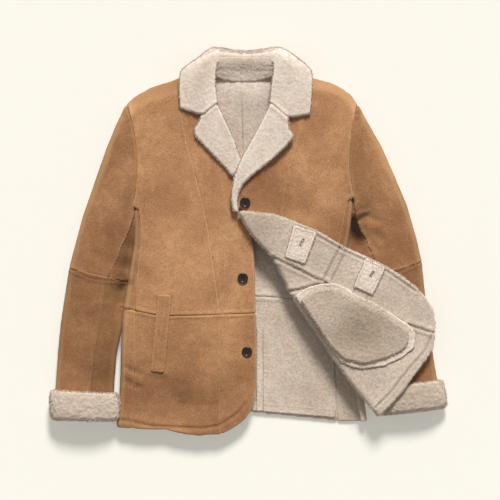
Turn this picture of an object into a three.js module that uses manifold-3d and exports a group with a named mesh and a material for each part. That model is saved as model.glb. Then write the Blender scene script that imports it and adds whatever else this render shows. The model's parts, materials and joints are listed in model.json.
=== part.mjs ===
// A shearling coat laid flat on its back, with its left front turned back to show the wool.
// Millimetres, +Z up, +Y towards the collar. The coat rests on z = 0 and its origin is under its middle.
// Right and left are the wearer's, so the right front lies at -X.

import * as THREE from "three";
import Module from "manifold-3d";
import { mergeVertices } from "three/addons/utils/BufferGeometryUtils.js";

// Cloth
const SKIN = 7; // suede and wool together, one hide
const WOOL_PLY = 8.5; // the longer wool of collar and lapels
const SEAM = 0.6; // free width at a seam
const LAY = 0.6; // free height between layers that lie on each other
const SEWN = 0.35; // and between a piece and the one that it is sewn on

// Heights of the layers above the floor
const FRONT_TOP = 34; // outer face of the fronts
const OVERLAP_RISE = 8.4; // the left front climbs over the right one at the buttons
const SHOULDER_TOP = SKIN * 2 + LAY; // the front comes down onto the back at the shoulder seam
const SHOULDER_ROLL = 46; // over which width it comes down
const FOLD_RADIUS = 10; // outer radius of the wool at the turned-back fold
const FLAP_TOP = FRONT_TOP + 2 * FOLD_RADIUS - SKIN; // wool face of the turned-back front
const FLAP_OVER_SLEEVE = 2.5; // extra rise where it lies on the left sleeve
const FLAP_OVER_CUFF = 7; // and on the left cuff
const FLAP_OVER_BUTTON = 9.4; // and where both fronts lie under it
const FOLD_TUCK = 5; // length of the turned-back pieces that runs on under the fold
const LOW_SIDE_TOP = 25; // the left side's lower end lies flatter, under the fold

// Stretches over which a height changes, along x or y
const FOLDS_RIGHT_OF = -20; // the fronts' folds lie on the right front
const FOLDS_ABOVE = 60; // and on the chest
const OVERLAP_X = [24, 70]; // the left front comes down from the overlap
const OVERLAP_Y = [180, 250]; // and from it towards the collar
const SLEEVE_CLIMB_X = [200, 250]; // the turned-back front climbs onto the sleeve
const CUFF_CLIMB_Y = [-300, -210]; // onto the cuff
const BUTTON_CLIMB_X = [20, 90]; // and onto the overlap

// Buttons
const BUTTON_RADIUS = 11.5;
const BUTTON_THICK = 4.2;
const BUTTON_DISH_RADIUS = 7.6;
const BUTTON_DISH = 1.2;
const BUTTON_HOLE_RADIUS = 1.1;
const BUTTON_HOLE_SPACING = 4.4;
const BUTTON_SIDES = 24;

const SUEDE = new THREE.MeshStandardMaterial({ color: 0xb07a4a, roughness: 0.9, metalness: 0 });
const WOOL = new THREE.MeshStandardMaterial({ color: 0xd8ccbb, roughness: 1, metalness: 0 });
const HORN = new THREE.MeshStandardMaterial({ color: 0x1c1817, roughness: 0.35, metalness: 0 });

// Seam lines and edges, as points x, y on the floor plan

const shoulderRight = [[-264, 301], [-249, 317], [-213, 337], [-152, 357], [-80, 394]];
const shoulderLeft = [[242, 301], [235, 317], [216, 332], [191, 347], [136, 361], [72, 394]];

// Side panels: a row for each height, with the coat's outline, the seam to the front and the seam to the back
const sideRightRows = [
  { y: 72, edge: -248, front: -236, back: -230, top: FRONT_TOP },
  { y: 37, edge: -246, front: -232, back: -222, top: FRONT_TOP },
  { y: -7, edge: -247, front: -233, back: -217, top: FRONT_TOP },
  { y: -51, edge: -255, front: -239, back: -214, top: FRONT_TOP },
  { y: -97, edge: -262, front: -242, back: -213, top: FRONT_TOP },
  { y: -150, edge: -270, front: -243, back: -213, top: FRONT_TOP },
  { y: -194, edge: -273, front: -244, back: -213, top: FRONT_TOP },
  { y: -238, edge: -275, front: -245, back: -213, top: FRONT_TOP },
  { y: -293, edge: -276, front: -246, back: -213, top: FRONT_TOP },
  { y: -348, edge: -279, front: -248, back: -213, top: FRONT_TOP },
  { y: -406, edge: -285, front: -251, back: -214, top: FRONT_TOP },
];
const sideLeftRows = [
  { y: 92, edge: 232, front: 220, back: 214, top: FRONT_TOP },
  { y: 35, edge: 226, front: 210, back: 198, top: FRONT_TOP },
  { y: -11, edge: 219, front: 201, back: 188, top: FRONT_TOP },
  { y: -62, edge: 216, front: 197, back: 185, top: FRONT_TOP },
  { y: -128, edge: 220, front: 201, back: 186, top: FRONT_TOP },
  { y: -190, edge: 228, front: 208, back: 189, top: FRONT_TOP },
  { y: -252, edge: 238, front: 218, back: 191, top: FRONT_TOP },
  { y: -300, edge: 248, front: 236, back: 194, top: LOW_SIDE_TOP },
  { y: -348, edge: 256, front: 244, back: 196, top: LOW_SIDE_TOP },
  { y: -392, edge: 262, front: 250, back: 198, top: LOW_SIDE_TOP },
];
const WAIST_ROW_RIGHT = 5;
const WAIST_ROW_LEFT = 4;

const princessRightUpper = [
  [-58, -159], [-86, 37], [-97, 86], [-117, 166], [-132, 218], [-147, 295],
  [-152, 357],
];
const princessRightLower = [[-57, -419], [-57, -290], [-58, -160]];
const princessLeftChest = [[66, -30], [80, 92], [92, 167], [116, 246], [130, 320], [136, 361]];
const waistRight = [[-243, -151], [-200, -160], [-168, -162], [-58, -159]];
const waistRightCentre = [[-58, -159], [18, -156]];
const hemRight = [[-251, -414], [-210, -416], [-172, -413], [-147, -422], [-109, -425], [-57, -419]];
const hemRightCentre = [[-57, -419], [-33, -408], [-8, -391], [8, -368]];
const frontEdgeRightUpper = [
  [18, -156], [16, -57], [12, 0], [5, 60], [-6, 120], [-8, 168],
  [-35, 235], [-66, 301], [-71, 376], [-80, 394],
];
const frontEdgeRightLower = [[8, -368], [16, -339], [20, -301], [20, -220], [18, -156]];

// The fold of the turned-back left front, from the top button to the hem
const foldUpper = [[-18, 62], [13, 11], [55, -33]];
const foldMiddle = [[55, -33], [74, -70], [92, -108]];
const foldLower = [
  [92, -108], [112, -142], [138, -181], [165, -221], [196, -265], [233, -317],
  [255, -343], [286, -379],
];
const turnedEdgeUpper = [[-18, 62], [60, 55], [108, 38], [152, 22], [211, -12]];
const turnedEdgeLower = [[211, -12], [260, -33], [299, -53], [334, -73], [367, -99], [388, -121]];
const turnedCorner = [[388, -121], [405, -150], [410, -178], [408, -198]];
const turnedHem = [[408, -198], [403, -238], [367, -282], [328, -337], [286, -379]];
const turnedWaist = [[211, -12], [174, -90]];
const turnedWaistSide = [[92, -108], [174, -90]];
const turnedPrincessUpper = [[55, -33], [174, -90]];
const turnedPrincessLower = [[174, -90], [230, -118], [300, -150], [352, -178], [408, -198]];

// Sleeves: a row for each ring, with its outer and inner edge, its height, its lowest point,
// and where the front seam runs, as a share of the way from the outer to the inner edge
const sleeveRightRows = [
  { outer: [-264, 301], inner: [-250, 78], height: 34, low: 0, seam: 0.985, bow: 16 },
  { outer: [-284, 260], inner: [-250, 62], height: 36, low: 0, seam: 0.97, bow: 10 },
  { outer: [-306, 206], inner: [-251, 40], height: 37, low: 0, seam: 0.93, bow: 4 },
  { outer: [-330, 136], inner: [-252, 8], height: 37, low: 0, seam: 0.86, bow: 0 },
  { outer: [-359, 53], inner: [-257, -35], height: 36, low: 0, seam: 0.79, bow: 0 },
  { outer: [-380, -26], inner: [-262, -73], height: 36, low: 0, seam: 0.72, bow: 0 },
  { outer: [-388, -58], inner: [-264, -87], height: 36, low: 0, seam: 0.68, bow: 4 },
  { outer: [-398, -123], inner: [-270, -141], height: 35, low: 0, seam: 0.66, bow: 0 },
  { outer: [-406, -176], inner: [-276, -194], height: 35, low: 0, seam: 0.64, bow: 0 },
  { outer: [-412, -238], inner: [-287, -242], height: 34, low: 1, seam: 0.62, bow: 0 },
  { outer: [-416, -299], inner: [-292, -304], height: 33, low: 5, seam: 0.61, bow: 0 },
  { outer: [-418, -328], inner: [-293, -334], height: 31, low: 11, seam: 0.6, bow: 0 },
  { outer: [-416, -372], inner: [-293, -374], height: 30, low: 12, seam: 0.6, bow: 0 },
];
const sleeveLeftRows = [
  { outer: [242, 301], inner: [234, 99], height: 34, low: 0, seam: 0.985, bow: -13 },
  { outer: [262, 264], inner: [236, 84], height: 36, low: 0, seam: 0.97, bow: -7 },
  { outer: [293, 209], inner: [238, 60], height: 37, low: 0, seam: 0.93, bow: -2 },
  { outer: [323, 141], inner: [240, 30], height: 37, low: 0, seam: 0.87, bow: 0 },
  { outer: [349, 79], inner: [242, -2], height: 36, low: 0, seam: 0.8, bow: 0 },
  { outer: [370, 7], inner: [246, -45], height: 35, low: 0, seam: 0.74, bow: 0 },
  { outer: [381, -44], inner: [250, -74], height: 34, low: 0, seam: 0.7, bow: 4 },
  { outer: [389, -117], inner: [257, -128], height: 33, low: 0, seam: 0.67, bow: 0 },
  { outer: [398, -194], inner: [266, -196], height: 32, low: 0, seam: 0.64, bow: 0 },
  { outer: [405, -240], inner: [275, -246], height: 30, low: 1, seam: 0.62, bow: 0 },
  { outer: [413, -290], inner: [286, -304], height: 27, low: 5, seam: 0.61, bow: 0 },
  { outer: [417, -308], inner: [290, -322], height: 25, low: 9, seam: 0.6, bow: 0 },
  { outer: [423, -348], inner: [297, -362], height: 25, low: 9, seam: 0.6, bow: 0 },
];
const ELBOW_ROW = 6;
const SLEEVE_SQUARENESS = 2.5; // exponent of the flattened ring
const UNDER_SEAM_ANGLE = 250; // degrees round the ring to the seam on the underside
const RING_STEPS = 11; // steps round each of the two sleeve panels

// Cuffs: wool folded outwards. Places run up the sleeve from its end, and stand out from its skin
const CUFF_UP = 42;
const CUFF_PROFILE = [
  { up: CUFF_UP, out: LAY },
  { up: CUFF_UP + 2, out: 5 },
  { up: CUFF_UP, out: 10 },
  { up: CUFF_UP - 12, out: 12.5 },
  { up: 8, out: 13 },
  { up: -8, out: 11.5 },
  { up: -14, out: 6 },
  { up: -15, out: -2 },
  { up: -9, out: -SKIN },
  { up: -LAY, out: -SKIN },
  { up: -LAY, out: LAY },
];
const CUFF_STEPS = 26;

// Collar, from the right gorge round the neck to the left gorge, a row for each place: its inner edge,
// its middle, its outer edge and the heights of the three
const collarRows = [
  { inner: [-66, 301], middle: [-97, 277], outer: [-144, 294], z: [43.5, 44, 42.5] },
  { inner: [-68, 316], middle: [-104, 306], outer: [-145, 319], z: [44, 45, 42.5] },
  { inner: [-71, 345], middle: [-108, 343], outer: [-145, 354], z: [44, 45, 42] },
  { inner: [-70, 374], middle: [-103, 379], outer: [-140, 375], z: [44, 45, 38] },
  { inner: [-66, 394], middle: [-88, 402], outer: [-104, 402], z: [43, 44, 33] },
  { inner: [-56, 394], middle: [-69, 411], outer: [-75, 424], z: [39, 41, 20] },
  { inner: [-30, 393], middle: [-31, 407], outer: [-31, 419], z: [38, 40, 16] },
  { inner: [-5, 392], middle: [-4, 406], outer: [-4, 417], z: [38, 40, 15] },
  { inner: [22, 393], middle: [23, 407], outer: [25, 419], z: [38, 40, 16] },
  { inner: [48, 394], middle: [63, 411], outer: [71, 425], z: [39, 41, 20] },
  { inner: [59, 394], middle: [82, 404], outer: [103, 405], z: [43, 44, 33] },
  { inner: [60, 374], middle: [97, 380], outer: [138, 374], z: [44, 45, 38] },
  { inner: [56, 345], middle: [97, 343], outer: [140, 345], z: [44, 45, 42] },
  { inner: [53, 318], middle: [94, 306], outer: [138, 310], z: [44, 45, 42.5] },
  { inner: [53, 301], middle: [89, 271], outer: [136, 280], z: [43.5, 44, 42.5] },
];

const BUTTONS = [
  { name: "button_top", at: [-4, 86] },
  { name: "button_middle", at: [-9, -79] },
  { name: "button_bottom", at: [0, -240] },
];

// Soft ridges and troughs of the fronts: ends, half width and height
const bodyFolds = [
  { from: [-225, -205], to: [-150, -330], half: 30, high: -3 },
  { from: [-260, -300], to: [-190, -335], half: 16, high: 2.5 },
  { from: [-180, -300], to: [-90, -318], half: 26, high: 3.5 },
  { from: [-170, -365], to: [-60, -345], half: 26, high: -3.5 },
  { from: [-60, 40], to: [-110, -70], half: 40, high: 2.5 },
  { from: [60, 120], to: [170, 90], half: 34, high: -2.5 },
  { from: [-190, 190], to: [-120, 110], half: 36, high: -2 },
];
// Pinches in the sleeves, where the arm bends at the armpit and the elbow
const sleeveFolds = [
  { from: [263, 66], to: [250, 0], half: 15, high: -17 },
  { from: [-283, -97], to: [-264, -125], half: 18, high: -12 },
  { from: [-350, 30], to: [-300, -20], half: 26, high: -3 },
  { from: [330, 30], to: [290, -20], half: 28, high: -4 },
];

/** Distance from x, y to the segment a-b. */
function segmentDistance(x, y, a, b) {
  const along = [b[0] - a[0], b[1] - a[1]];
  const reach = along[0] ** 2 + along[1] ** 2;
  const share = THREE.MathUtils.clamp(((x - a[0]) * along[0] + (y - a[1]) * along[1]) / reach, 0, 1);
  return Math.hypot(x - a[0] - share * along[0], y - a[1] - share * along[1]);
}

function lineDistance(x, y, points) {
  let nearest = Infinity;
  for (let i = 1; i < points.length; i++) {
    nearest = Math.min(nearest, segmentDistance(x, y, points[i - 1], points[i]));
  }
  return nearest;
}

function foldHeight(x, y, folds) {
  const rise = ({ from, to, half, high }) => {
    const away = segmentDistance(x, y, from, to) / half;
    return high * Math.exp(-(away ** 2));
  };
  return folds.reduce((sum, fold) => sum + rise(fold), 0);
}

const smooth = (value, low, high) => THREE.MathUtils.smoothstep(value, low, high);

/** Height of the outer face of the fronts over the floor plan. */
function frontTop(x, y) {
  const shoulder = x < 0 ? shoulderRight : shoulderLeft;
  const inward = lineDistance(x, y, shoulder);
  const roll = inward < SHOULDER_ROLL ? Math.sin((Math.PI / 2) * (inward / SHOULDER_ROLL)) : 1;
  const flat = FRONT_TOP + (x < FOLDS_RIGHT_OF || y > FOLDS_ABOVE ? foldHeight(x, y, bodyFolds) : 0);
  return SHOULDER_TOP + (flat - SHOULDER_TOP) * roll;
}

/** The left front lies over the right one near the top button. */
function leftFrontTop(x, y) {
  return frontTop(x, y) + OVERLAP_RISE * (1 - smooth(x, ...OVERLAP_X)) * (1 - smooth(y, ...OVERLAP_Y));
}

/** Height of the wool face of the turned-back front. */
function flapTop(x, y) {
  const onSleeve = smooth(x, ...SLEEVE_CLIMB_X);
  const onCuff = 1 - smooth(y, ...CUFF_CLIMB_Y);
  const atButton = 1 - smooth(x, ...BUTTON_CLIMB_X);
  return FLAP_TOP + FLAP_OVER_SLEEVE * onSleeve + FLAP_OVER_CUFF * onCuff + FLAP_OVER_BUTTON * atButton;
}

/** A function of 0..1 along straight stretches between points. */
function straight(points) {
  const lengths = points.slice(1).map((p, i) => Math.hypot(p[0] - points[i][0], p[1] - points[i][1]));
  const total = lengths.reduce((a, b) => a + b, 0);
  return (t) => {
    let left = THREE.MathUtils.clamp(t, 0, 1) * total;
    for (let i = 0; i < lengths.length; i++) {
      if (left <= lengths[i] || i === lengths.length - 1) {
        const share = left / lengths[i];
        return points[i].map((c, k) => c + (points[i + 1][k] - c) * share);
      }
      left -= lengths[i];
    }
  };
}

/** A function of 0..1 that takes as long from each point to the next. */
function byPoint(points) {
  return (t) => {
    const place = THREE.MathUtils.clamp(t, 0, 1) * (points.length - 1);
    const i = Math.min(Math.floor(place), points.length - 2);
    return points[i].map((c, k) => c + (points[i + 1][k] - c) * (place - i));
  };
}

/** A function of 0..1 along stretches that each get their own number of grid steps. */
function chain(stretches) {
  const total = stretches.reduce((sum, { steps }) => sum + steps, 0);
  const lines = stretches.map(({ points, steps }) => ({
    at: steps === points.length - 1 ? byPoint(points) : straight(points),
    share: steps / total,
  }));
  return (t) => {
    let left = THREE.MathUtils.clamp(t, 0, 1);
    for (const line of lines.slice(0, -1)) {
      if (left <= line.share) {
        return line.at(left / line.share);
      }
      left -= line.share;
    }
    const last = lines[lines.length - 1];
    return last.at(left / last.share);
  };
}

/** The line that runs beside another one, on its left as seen along it. */
function beside(points, distance) {
  return points.map(([x, y], i) => {
    const [before, after] = [points[Math.max(i - 1, 0)], points[Math.min(i + 1, points.length - 1)]];
    const reach = Math.hypot(after[0] - before[0], after[1] - before[1]);
    return [x - (distance * (after[1] - before[1])) / reach, y + (distance * (after[0] - before[0])) / reach];
  });
}

const reversed = (points) => [...points].reverse();

/** Points on the floor plan that fill four edge curves, kept half a seam inside them. */
function patch({ bottom, top, left, right }, columns, rows) {
  const width = Math.hypot(...[0, 1].map((k) => right(0.5)[k] - left(0.5)[k]));
  const length = Math.hypot(...[0, 1].map((k) => top(0.5)[k] - bottom(0.5)[k]));
  const inset = (i, n, size) => {
    const margin = SEAM / 2 / size;
    return margin + (i / n) * (1 - 2 * margin);
  };
  return Array.from({ length: columns + 1 }, (_, i) => {
    const s = inset(i, columns, width);
    return Array.from({ length: rows + 1 }, (_, j) => {
      const t = inset(j, rows, length);
      return [0, 1].map((k) =>
        (1 - t) * bottom(s)[k] + t * top(s)[k] + (1 - s) * left(t)[k] + s * right(t)[k]
        - (1 - s) * (1 - t) * bottom(0)[k] - s * (1 - t) * bottom(1)[k]
        - (1 - s) * t * top(0)[k] - s * t * top(1)[k]);
    });
  });
}

/** A closed geometry, faces out, from corner points and quads that name them. */
function solid(points, quads) {
  const index = [];
  for (const [a, b, c, d] of quads) {
    index.push(a, b, c, a, c, d);
  }
  let volume = 0;
  for (let i = 0; i < index.length; i += 3) {
    const [p, q, r] = [0, 1, 2].map((k) => new THREE.Vector3(...points[index[i + k]]));
    volume += p.dot(q.cross(r));
  }
  if (volume < 0) {
    index.reverse();
  }
  const geometry = new THREE.BufferGeometry();
  geometry.setAttribute("position", new THREE.Float32BufferAttribute(points.flat(), 3));
  geometry.setIndex(index);
  return geometry;
}

/** A wall between two grids of points with the same rows and columns. */
function wall(face, back) {
  const m = face.length;
  const n = face[0].length;
  const at = (side, i, j) => side * m * n + i * n + j;
  const quads = [];
  for (let i = 0; i < m - 1; i++) {
    for (let j = 0; j < n - 1; j++) {
      quads.push([at(0, i, j), at(0, i + 1, j), at(0, i + 1, j + 1), at(0, i, j + 1)]);
      quads.push([at(1, i, j), at(1, i, j + 1), at(1, i + 1, j + 1), at(1, i + 1, j)]);
    }
  }
  for (let i = 0; i < m - 1; i++) {
    quads.push([at(0, i, 0), at(1, i, 0), at(1, i + 1, 0), at(0, i + 1, 0)]);
    quads.push([at(0, i, n - 1), at(0, i + 1, n - 1), at(1, i + 1, n - 1), at(1, i, n - 1)]);
  }
  for (let j = 0; j < n - 1; j++) {
    quads.push([at(0, 0, j), at(0, 0, j + 1), at(1, 0, j + 1), at(1, 0, j)]);
    quads.push([at(0, m - 1, j), at(1, m - 1, j), at(1, m - 1, j + 1), at(0, m - 1, j + 1)]);
  }
  return solid([...face.flat(), ...back.flat()], quads);
}

/** A solid ring: each loop of points is joined to the next, and the last to the first. */
function ring(loops) {
  const m = loops.length;
  const n = loops[0].length;
  const at = (i, j) => (i % m) * n + (j % n);
  const quads = [];
  for (let i = 0; i < m; i++) {
    for (let j = 0; j < n; j++) {
      quads.push([at(i, j), at(i + 1, j), at(i + 1, j + 1), at(i, j + 1)]);
    }
  }
  return solid(loops.flat(), quads);
}

/** A layer of cloth over the floor plan, between two heights. */
function layer(edges, columns, rows, upper, lower) {
  const plan = patch(edges, columns, rows);
  const lift = (height) => plan.map((column) => column.map(([x, y]) => [x, y, height(x, y)]));
  return wall(lift(upper), lift(lower));
}

const skinUnder = (height) => (x, y) => height(x, y) - SKIN;

/** A side panel: it comes from the front, round the side edge and under to the back. */
function sidePanel(rows, outward) {
  const bend = [90, 67.5, 45, 22.5, 0, -22.5, -45, -67.5, -90];
  const section = ({ y, edge, front, back, top }, depth) => {
    const halfHigh = top / 2;
    const halfWide = Math.min(16, Math.abs(front - edge) - 1);
    const centre = edge - outward * halfWide;
    const round = bend.map((degrees) => {
      const angle = THREE.MathUtils.degToRad(degrees);
      return [
        centre + outward * (halfWide - depth) * Math.cos(angle),
        y,
        halfHigh + (halfHigh - depth) * Math.sin(angle),
      ];
    });
    const inset = outward * SEAM;
    return [[front + inset, y, top - depth], ...round, [back + inset, y, depth]];
  };
  const ends = rows.map((row) => ({ ...row }));
  ends[0].y -= SEAM / 2;
  ends[ends.length - 1].y += SEAM / 2;
  const grid = (depth) => ends.map((row) => section(row, depth));
  return wall(grid(0), grid(SKIN));
}

/** A point on a sleeve ring; depth goes inwards from the skin's outer face. */
function sleevePoint(row, degrees, depth) {
  const angle = THREE.MathUtils.degToRad(degrees);
  const power = 2 / SLEEVE_SQUARENESS;
  const [c, s] = [Math.cos(angle), Math.sin(angle)];
  const across = Math.sign(c) * Math.abs(c) ** power;
  const upward = Math.sign(s) * Math.abs(s) ** power;
  const middle = [0, 1].map((k) => (row.outer[k] + row.inner[k]) / 2);
  const half = [0, 1].map((k) => (row.inner[k] - row.outer[k]) / 2);
  const halfWide = Math.hypot(...half);
  const [x, y] = [0, 1].map((k) => middle[k] + half[k] * across * (1 - depth / halfWide));
  const bow = row.bow * (1 - across ** 2);
  const pinch = s > 0 ? foldHeight(x, y, sleeveFolds) * upward : 0;
  const halfHigh = row.height / 2;
  const z = row.low + halfHigh + (halfHigh - depth) * upward + pinch;
  return [x + bow, y, z];
}

/** The sleeve's row at a place between two rows of its table. */
function sleeveRow(rows, place) {
  const i = Math.min(Math.floor(place), rows.length - 2);
  const share = place - i;
  const mix = (a, b) => a + (b - a) * share;
  const [a, b] = [rows[i], rows[i + 1]];
  return {
    outer: a.outer.map((v, k) => mix(v, b.outer[k])),
    inner: a.inner.map((v, k) => mix(v, b.inner[k])),
    height: mix(a.height, b.height),
    low: mix(a.low, b.low),
    seam: mix(a.seam, b.seam),
    bow: mix(a.bow, b.bow),
  };
}

/** The armhole seam on the floor plan, from the armpit up to the shoulder. */
function armhole(row) {
  const steps = 8;
  return Array.from({ length: steps + 1 }, (_, i) => {
    const across = 1 - (2 * i) / steps;
    const [x, y] = [0, 1].map((k) => (row.outer[k] * (1 - across) + row.inner[k] * (1 + across)) / 2);
    return [x + row.bow * (1 - across ** 2) + Math.sign(row.bow) * 2 * SEAM, y];
  });
}

const frontSeamAngle = (row) =>
  THREE.MathUtils.radToDeg(Math.acos((2 * row.seam - 1) ** (SLEEVE_SQUARENESS / 2)));

/** One of a sleeve's four panels, between two rows and on the top or the underside. */
function sleevePanel(rows, first, last, isTop) {
  const seamAngle = 0.35; // degrees kept free at each side of a long seam
  const armholeGap = 0.02; // shares of a row's length kept free at the ends
  const elbowGap = 0.006;
  const grid = (depth) => {
    const places = Array.from({ length: last - first + 1 }, (_, i) => first + i);
    places[0] += first === 0 ? armholeGap : elbowGap;
    places[places.length - 1] -= elbowGap;
    return places.map((place) => {
      const row = sleeveRow(rows, place);
      const front = frontSeamAngle(row);
      const from = isTop ? front : UNDER_SEAM_ANGLE;
      const to = isTop ? UNDER_SEAM_ANGLE : 360 + front;
      const turn = (k) => from + seamAngle + ((to - from - 2 * seamAngle) * k) / RING_STEPS;
      return Array.from({ length: RING_STEPS + 1 }, (_, k) => sleevePoint(row, turn(k), depth));
    });
  };
  return wall(grid(0), grid(SKIN));
}

/** The folded cuff, a thick ring of wool round the sleeve's end. */
function cuff(rows) {
  const end = rows[rows.length - 1];
  const before = rows[rows.length - 2];
  const centre = (row, k) => (row.outer[k] + row.inner[k]) / 2;
  const along = [0, 1].map((k) => centre(before, k) - centre(end, k));
  const reach = Math.hypot(...along);
  const loops = Array.from({ length: CUFF_STEPS }, (_, i) => {
    const degrees = (360 * i) / CUFF_STEPS;
    return CUFF_PROFILE.map(({ up, out }) => {
      const share = THREE.MathUtils.clamp(up / reach, 0, 1);
      const row = sleeveRow([end, before], share);
      row.bow = 0;
      const past = up < 0 ? up : Math.max(0, up - reach);
      const [x, y, z] = sleevePoint(row, degrees, -out);
      return [x + (along[0] / reach) * past, y + (along[1] / reach) * past, Math.max(z, 0)];
    });
  });
  return ring(loops);
}

/** The direction across the fold, from its edge towards the turned-back front. */
function acrossFold(x, y) {
  const line = [...foldUpper, ...foldMiddle.slice(1), ...foldLower.slice(1)];
  const rim = beside(line, 1);
  let nearest = { distance: Infinity };
  for (let i = 1; i < line.length; i++) {
    const [a, b] = [line[i - 1], line[i]];
    const distance = segmentDistance(x, y, a, b);
    if (distance < nearest.distance) {
      const share = Math.hypot(x - a[0], y - a[1]) / Math.hypot(b[0] - a[0], b[1] - a[1]);
      nearest = { distance, i, share: Math.min(share, 1) };
    }
  }
  const { i, share } = nearest;
  const across = (j, k) => rim[j][k] - line[j][k];
  const side = [0, 1].map((k) => across(i - 1, k) * (1 - share) + across(i, k) * share);
  return new THREE.Vector2(...side).normalize();
}

/** A turned-back piece: it starts under the fold, rounds it and lies with its wool up. */
function turnedPiece(edges, columns, rows) {
  const plan = patch(edges, columns, rows);
  const foldLine = plan[0];
  const bend = [180, 150, 120, 90, 60, 30];
  const inward = foldLine.map((point) => acrossFold(...point));
  const grid = (depth) => {
    const around = [[FOLD_RADIUS + FOLD_TUCK, 180], ...bend.map((angle) => [FOLD_RADIUS, angle])];
    const bent = around.map(([centre, angle]) => foldLine.map(([x, y], j) => {
      const turn = THREE.MathUtils.degToRad(angle);
      const radius = FOLD_RADIUS - depth;
      const out = centre - radius * Math.sin(turn);
      const top = flapTop(x, y);
      return [x + inward[j].x * out, y + inward[j].y * out, top - FOLD_RADIUS + radius * Math.cos(turn)];
    }));
    const flat = plan.map((column, i) => column.map(([x, y], j) => {
      const ease = (1 - i / columns) * FOLD_RADIUS;
      return [x + inward[j].x * ease, y + inward[j].y * ease, flapTop(x, y) - depth];
    }));
    return [...bent, ...flat];
  };
  return wall(grid(0), grid(SKIN));
}

/** The collar's wool leaf, one strip through its table of rows. */
function collar() {
  const steps = 28;
  const across = 5;
  const gorgeGap = 0.0035; // share of the collar's length kept free at each gorge
  const points = collarRows.map(({ inner, middle, outer, z }) =>
    [inner, middle, outer].map(([x, y], k) => [x, y, z[k]]));
  const rails = [0, 1, 2].map((k) =>
    new THREE.CatmullRomCurve3(points.map((row) => new THREE.Vector3(...row[k])), false, "centripetal"));
  const place = (i) => gorgeGap + (i / steps) * (1 - 2 * gorgeGap);
  const grid = (depth) => Array.from({ length: steps + 1 }, (_, i) => {
    const [inner, middle, outer] = rails.map((rail) => rail.getPoint(place(i)));
    return Array.from({ length: across + 1 }, (_, k) => {
      const share = (k / across) * 2;
      const point = share < 1 ? inner.clone().lerp(middle, share) : middle.clone().lerp(outer, share - 1);
      return [point.x, point.y, point.z - depth];
    });
  });
  return wall(grid(0), grid(WOOL_PLY));
}

/** A geometry as a manifold solid. */
function asManifold(wasm, geometry) {
  const bare = geometry.clone();
  bare.deleteAttribute("normal");
  bare.deleteAttribute("uv");
  const merged = mergeVertices(bare);
  return new wasm.Manifold(new wasm.Mesh({
    numProp: 3,
    vertProperties: new Float32Array(merged.attributes.position.array),
    triVerts: new Uint32Array(merged.index.array),
  }));
}

function asGeometry(manifold) {
  const mesh = manifold.getMesh();
  const geometry = new THREE.BufferGeometry();
  geometry.setAttribute("position", new THREE.Float32BufferAttribute(mesh.vertProperties, 3));
  geometry.setIndex(Array.from(mesh.triVerts));
  return geometry;
}

/** A dished button with four thread holes, its underside at z = 0. */
function buttonShape(wasm) {
  const rim = 1;
  const profile = [
    [0, 0], [BUTTON_RADIUS - rim, 0], [BUTTON_RADIUS, rim], [BUTTON_RADIUS, BUTTON_THICK - rim],
    [BUTTON_RADIUS - rim, BUTTON_THICK], [BUTTON_DISH_RADIUS + rim, BUTTON_THICK],
    [BUTTON_DISH_RADIUS, BUTTON_THICK - BUTTON_DISH], [0, BUTTON_THICK - BUTTON_DISH],
  ];
  const body = new THREE.LatheGeometry(profile.map((p) => new THREE.Vector2(...p)), BUTTON_SIDES);
  let button = asManifold(wasm, body.rotateX(Math.PI / 2));
  for (const turn of [45, 135, 225, 315]) {
    const angle = THREE.MathUtils.degToRad(turn);
    const reach = (BUTTON_HOLE_SPACING / 2) * Math.SQRT2;
    const hole = new THREE.CylinderGeometry(BUTTON_HOLE_RADIUS, BUTTON_HOLE_RADIUS, 3 * BUTTON_THICK, 8);
    hole.rotateX(Math.PI / 2).translate(reach * Math.cos(angle), reach * Math.sin(angle), BUTTON_THICK / 2);
    button = button.subtract(asManifold(wasm, hole));
  }
  return asGeometry(button);
}

const coat = new THREE.Group();

function add(name, geometry, material) {
  const mesh = new THREE.Mesh(geometry, material);
  mesh.name = name;
  coat.add(mesh);
  return mesh;
}

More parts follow.
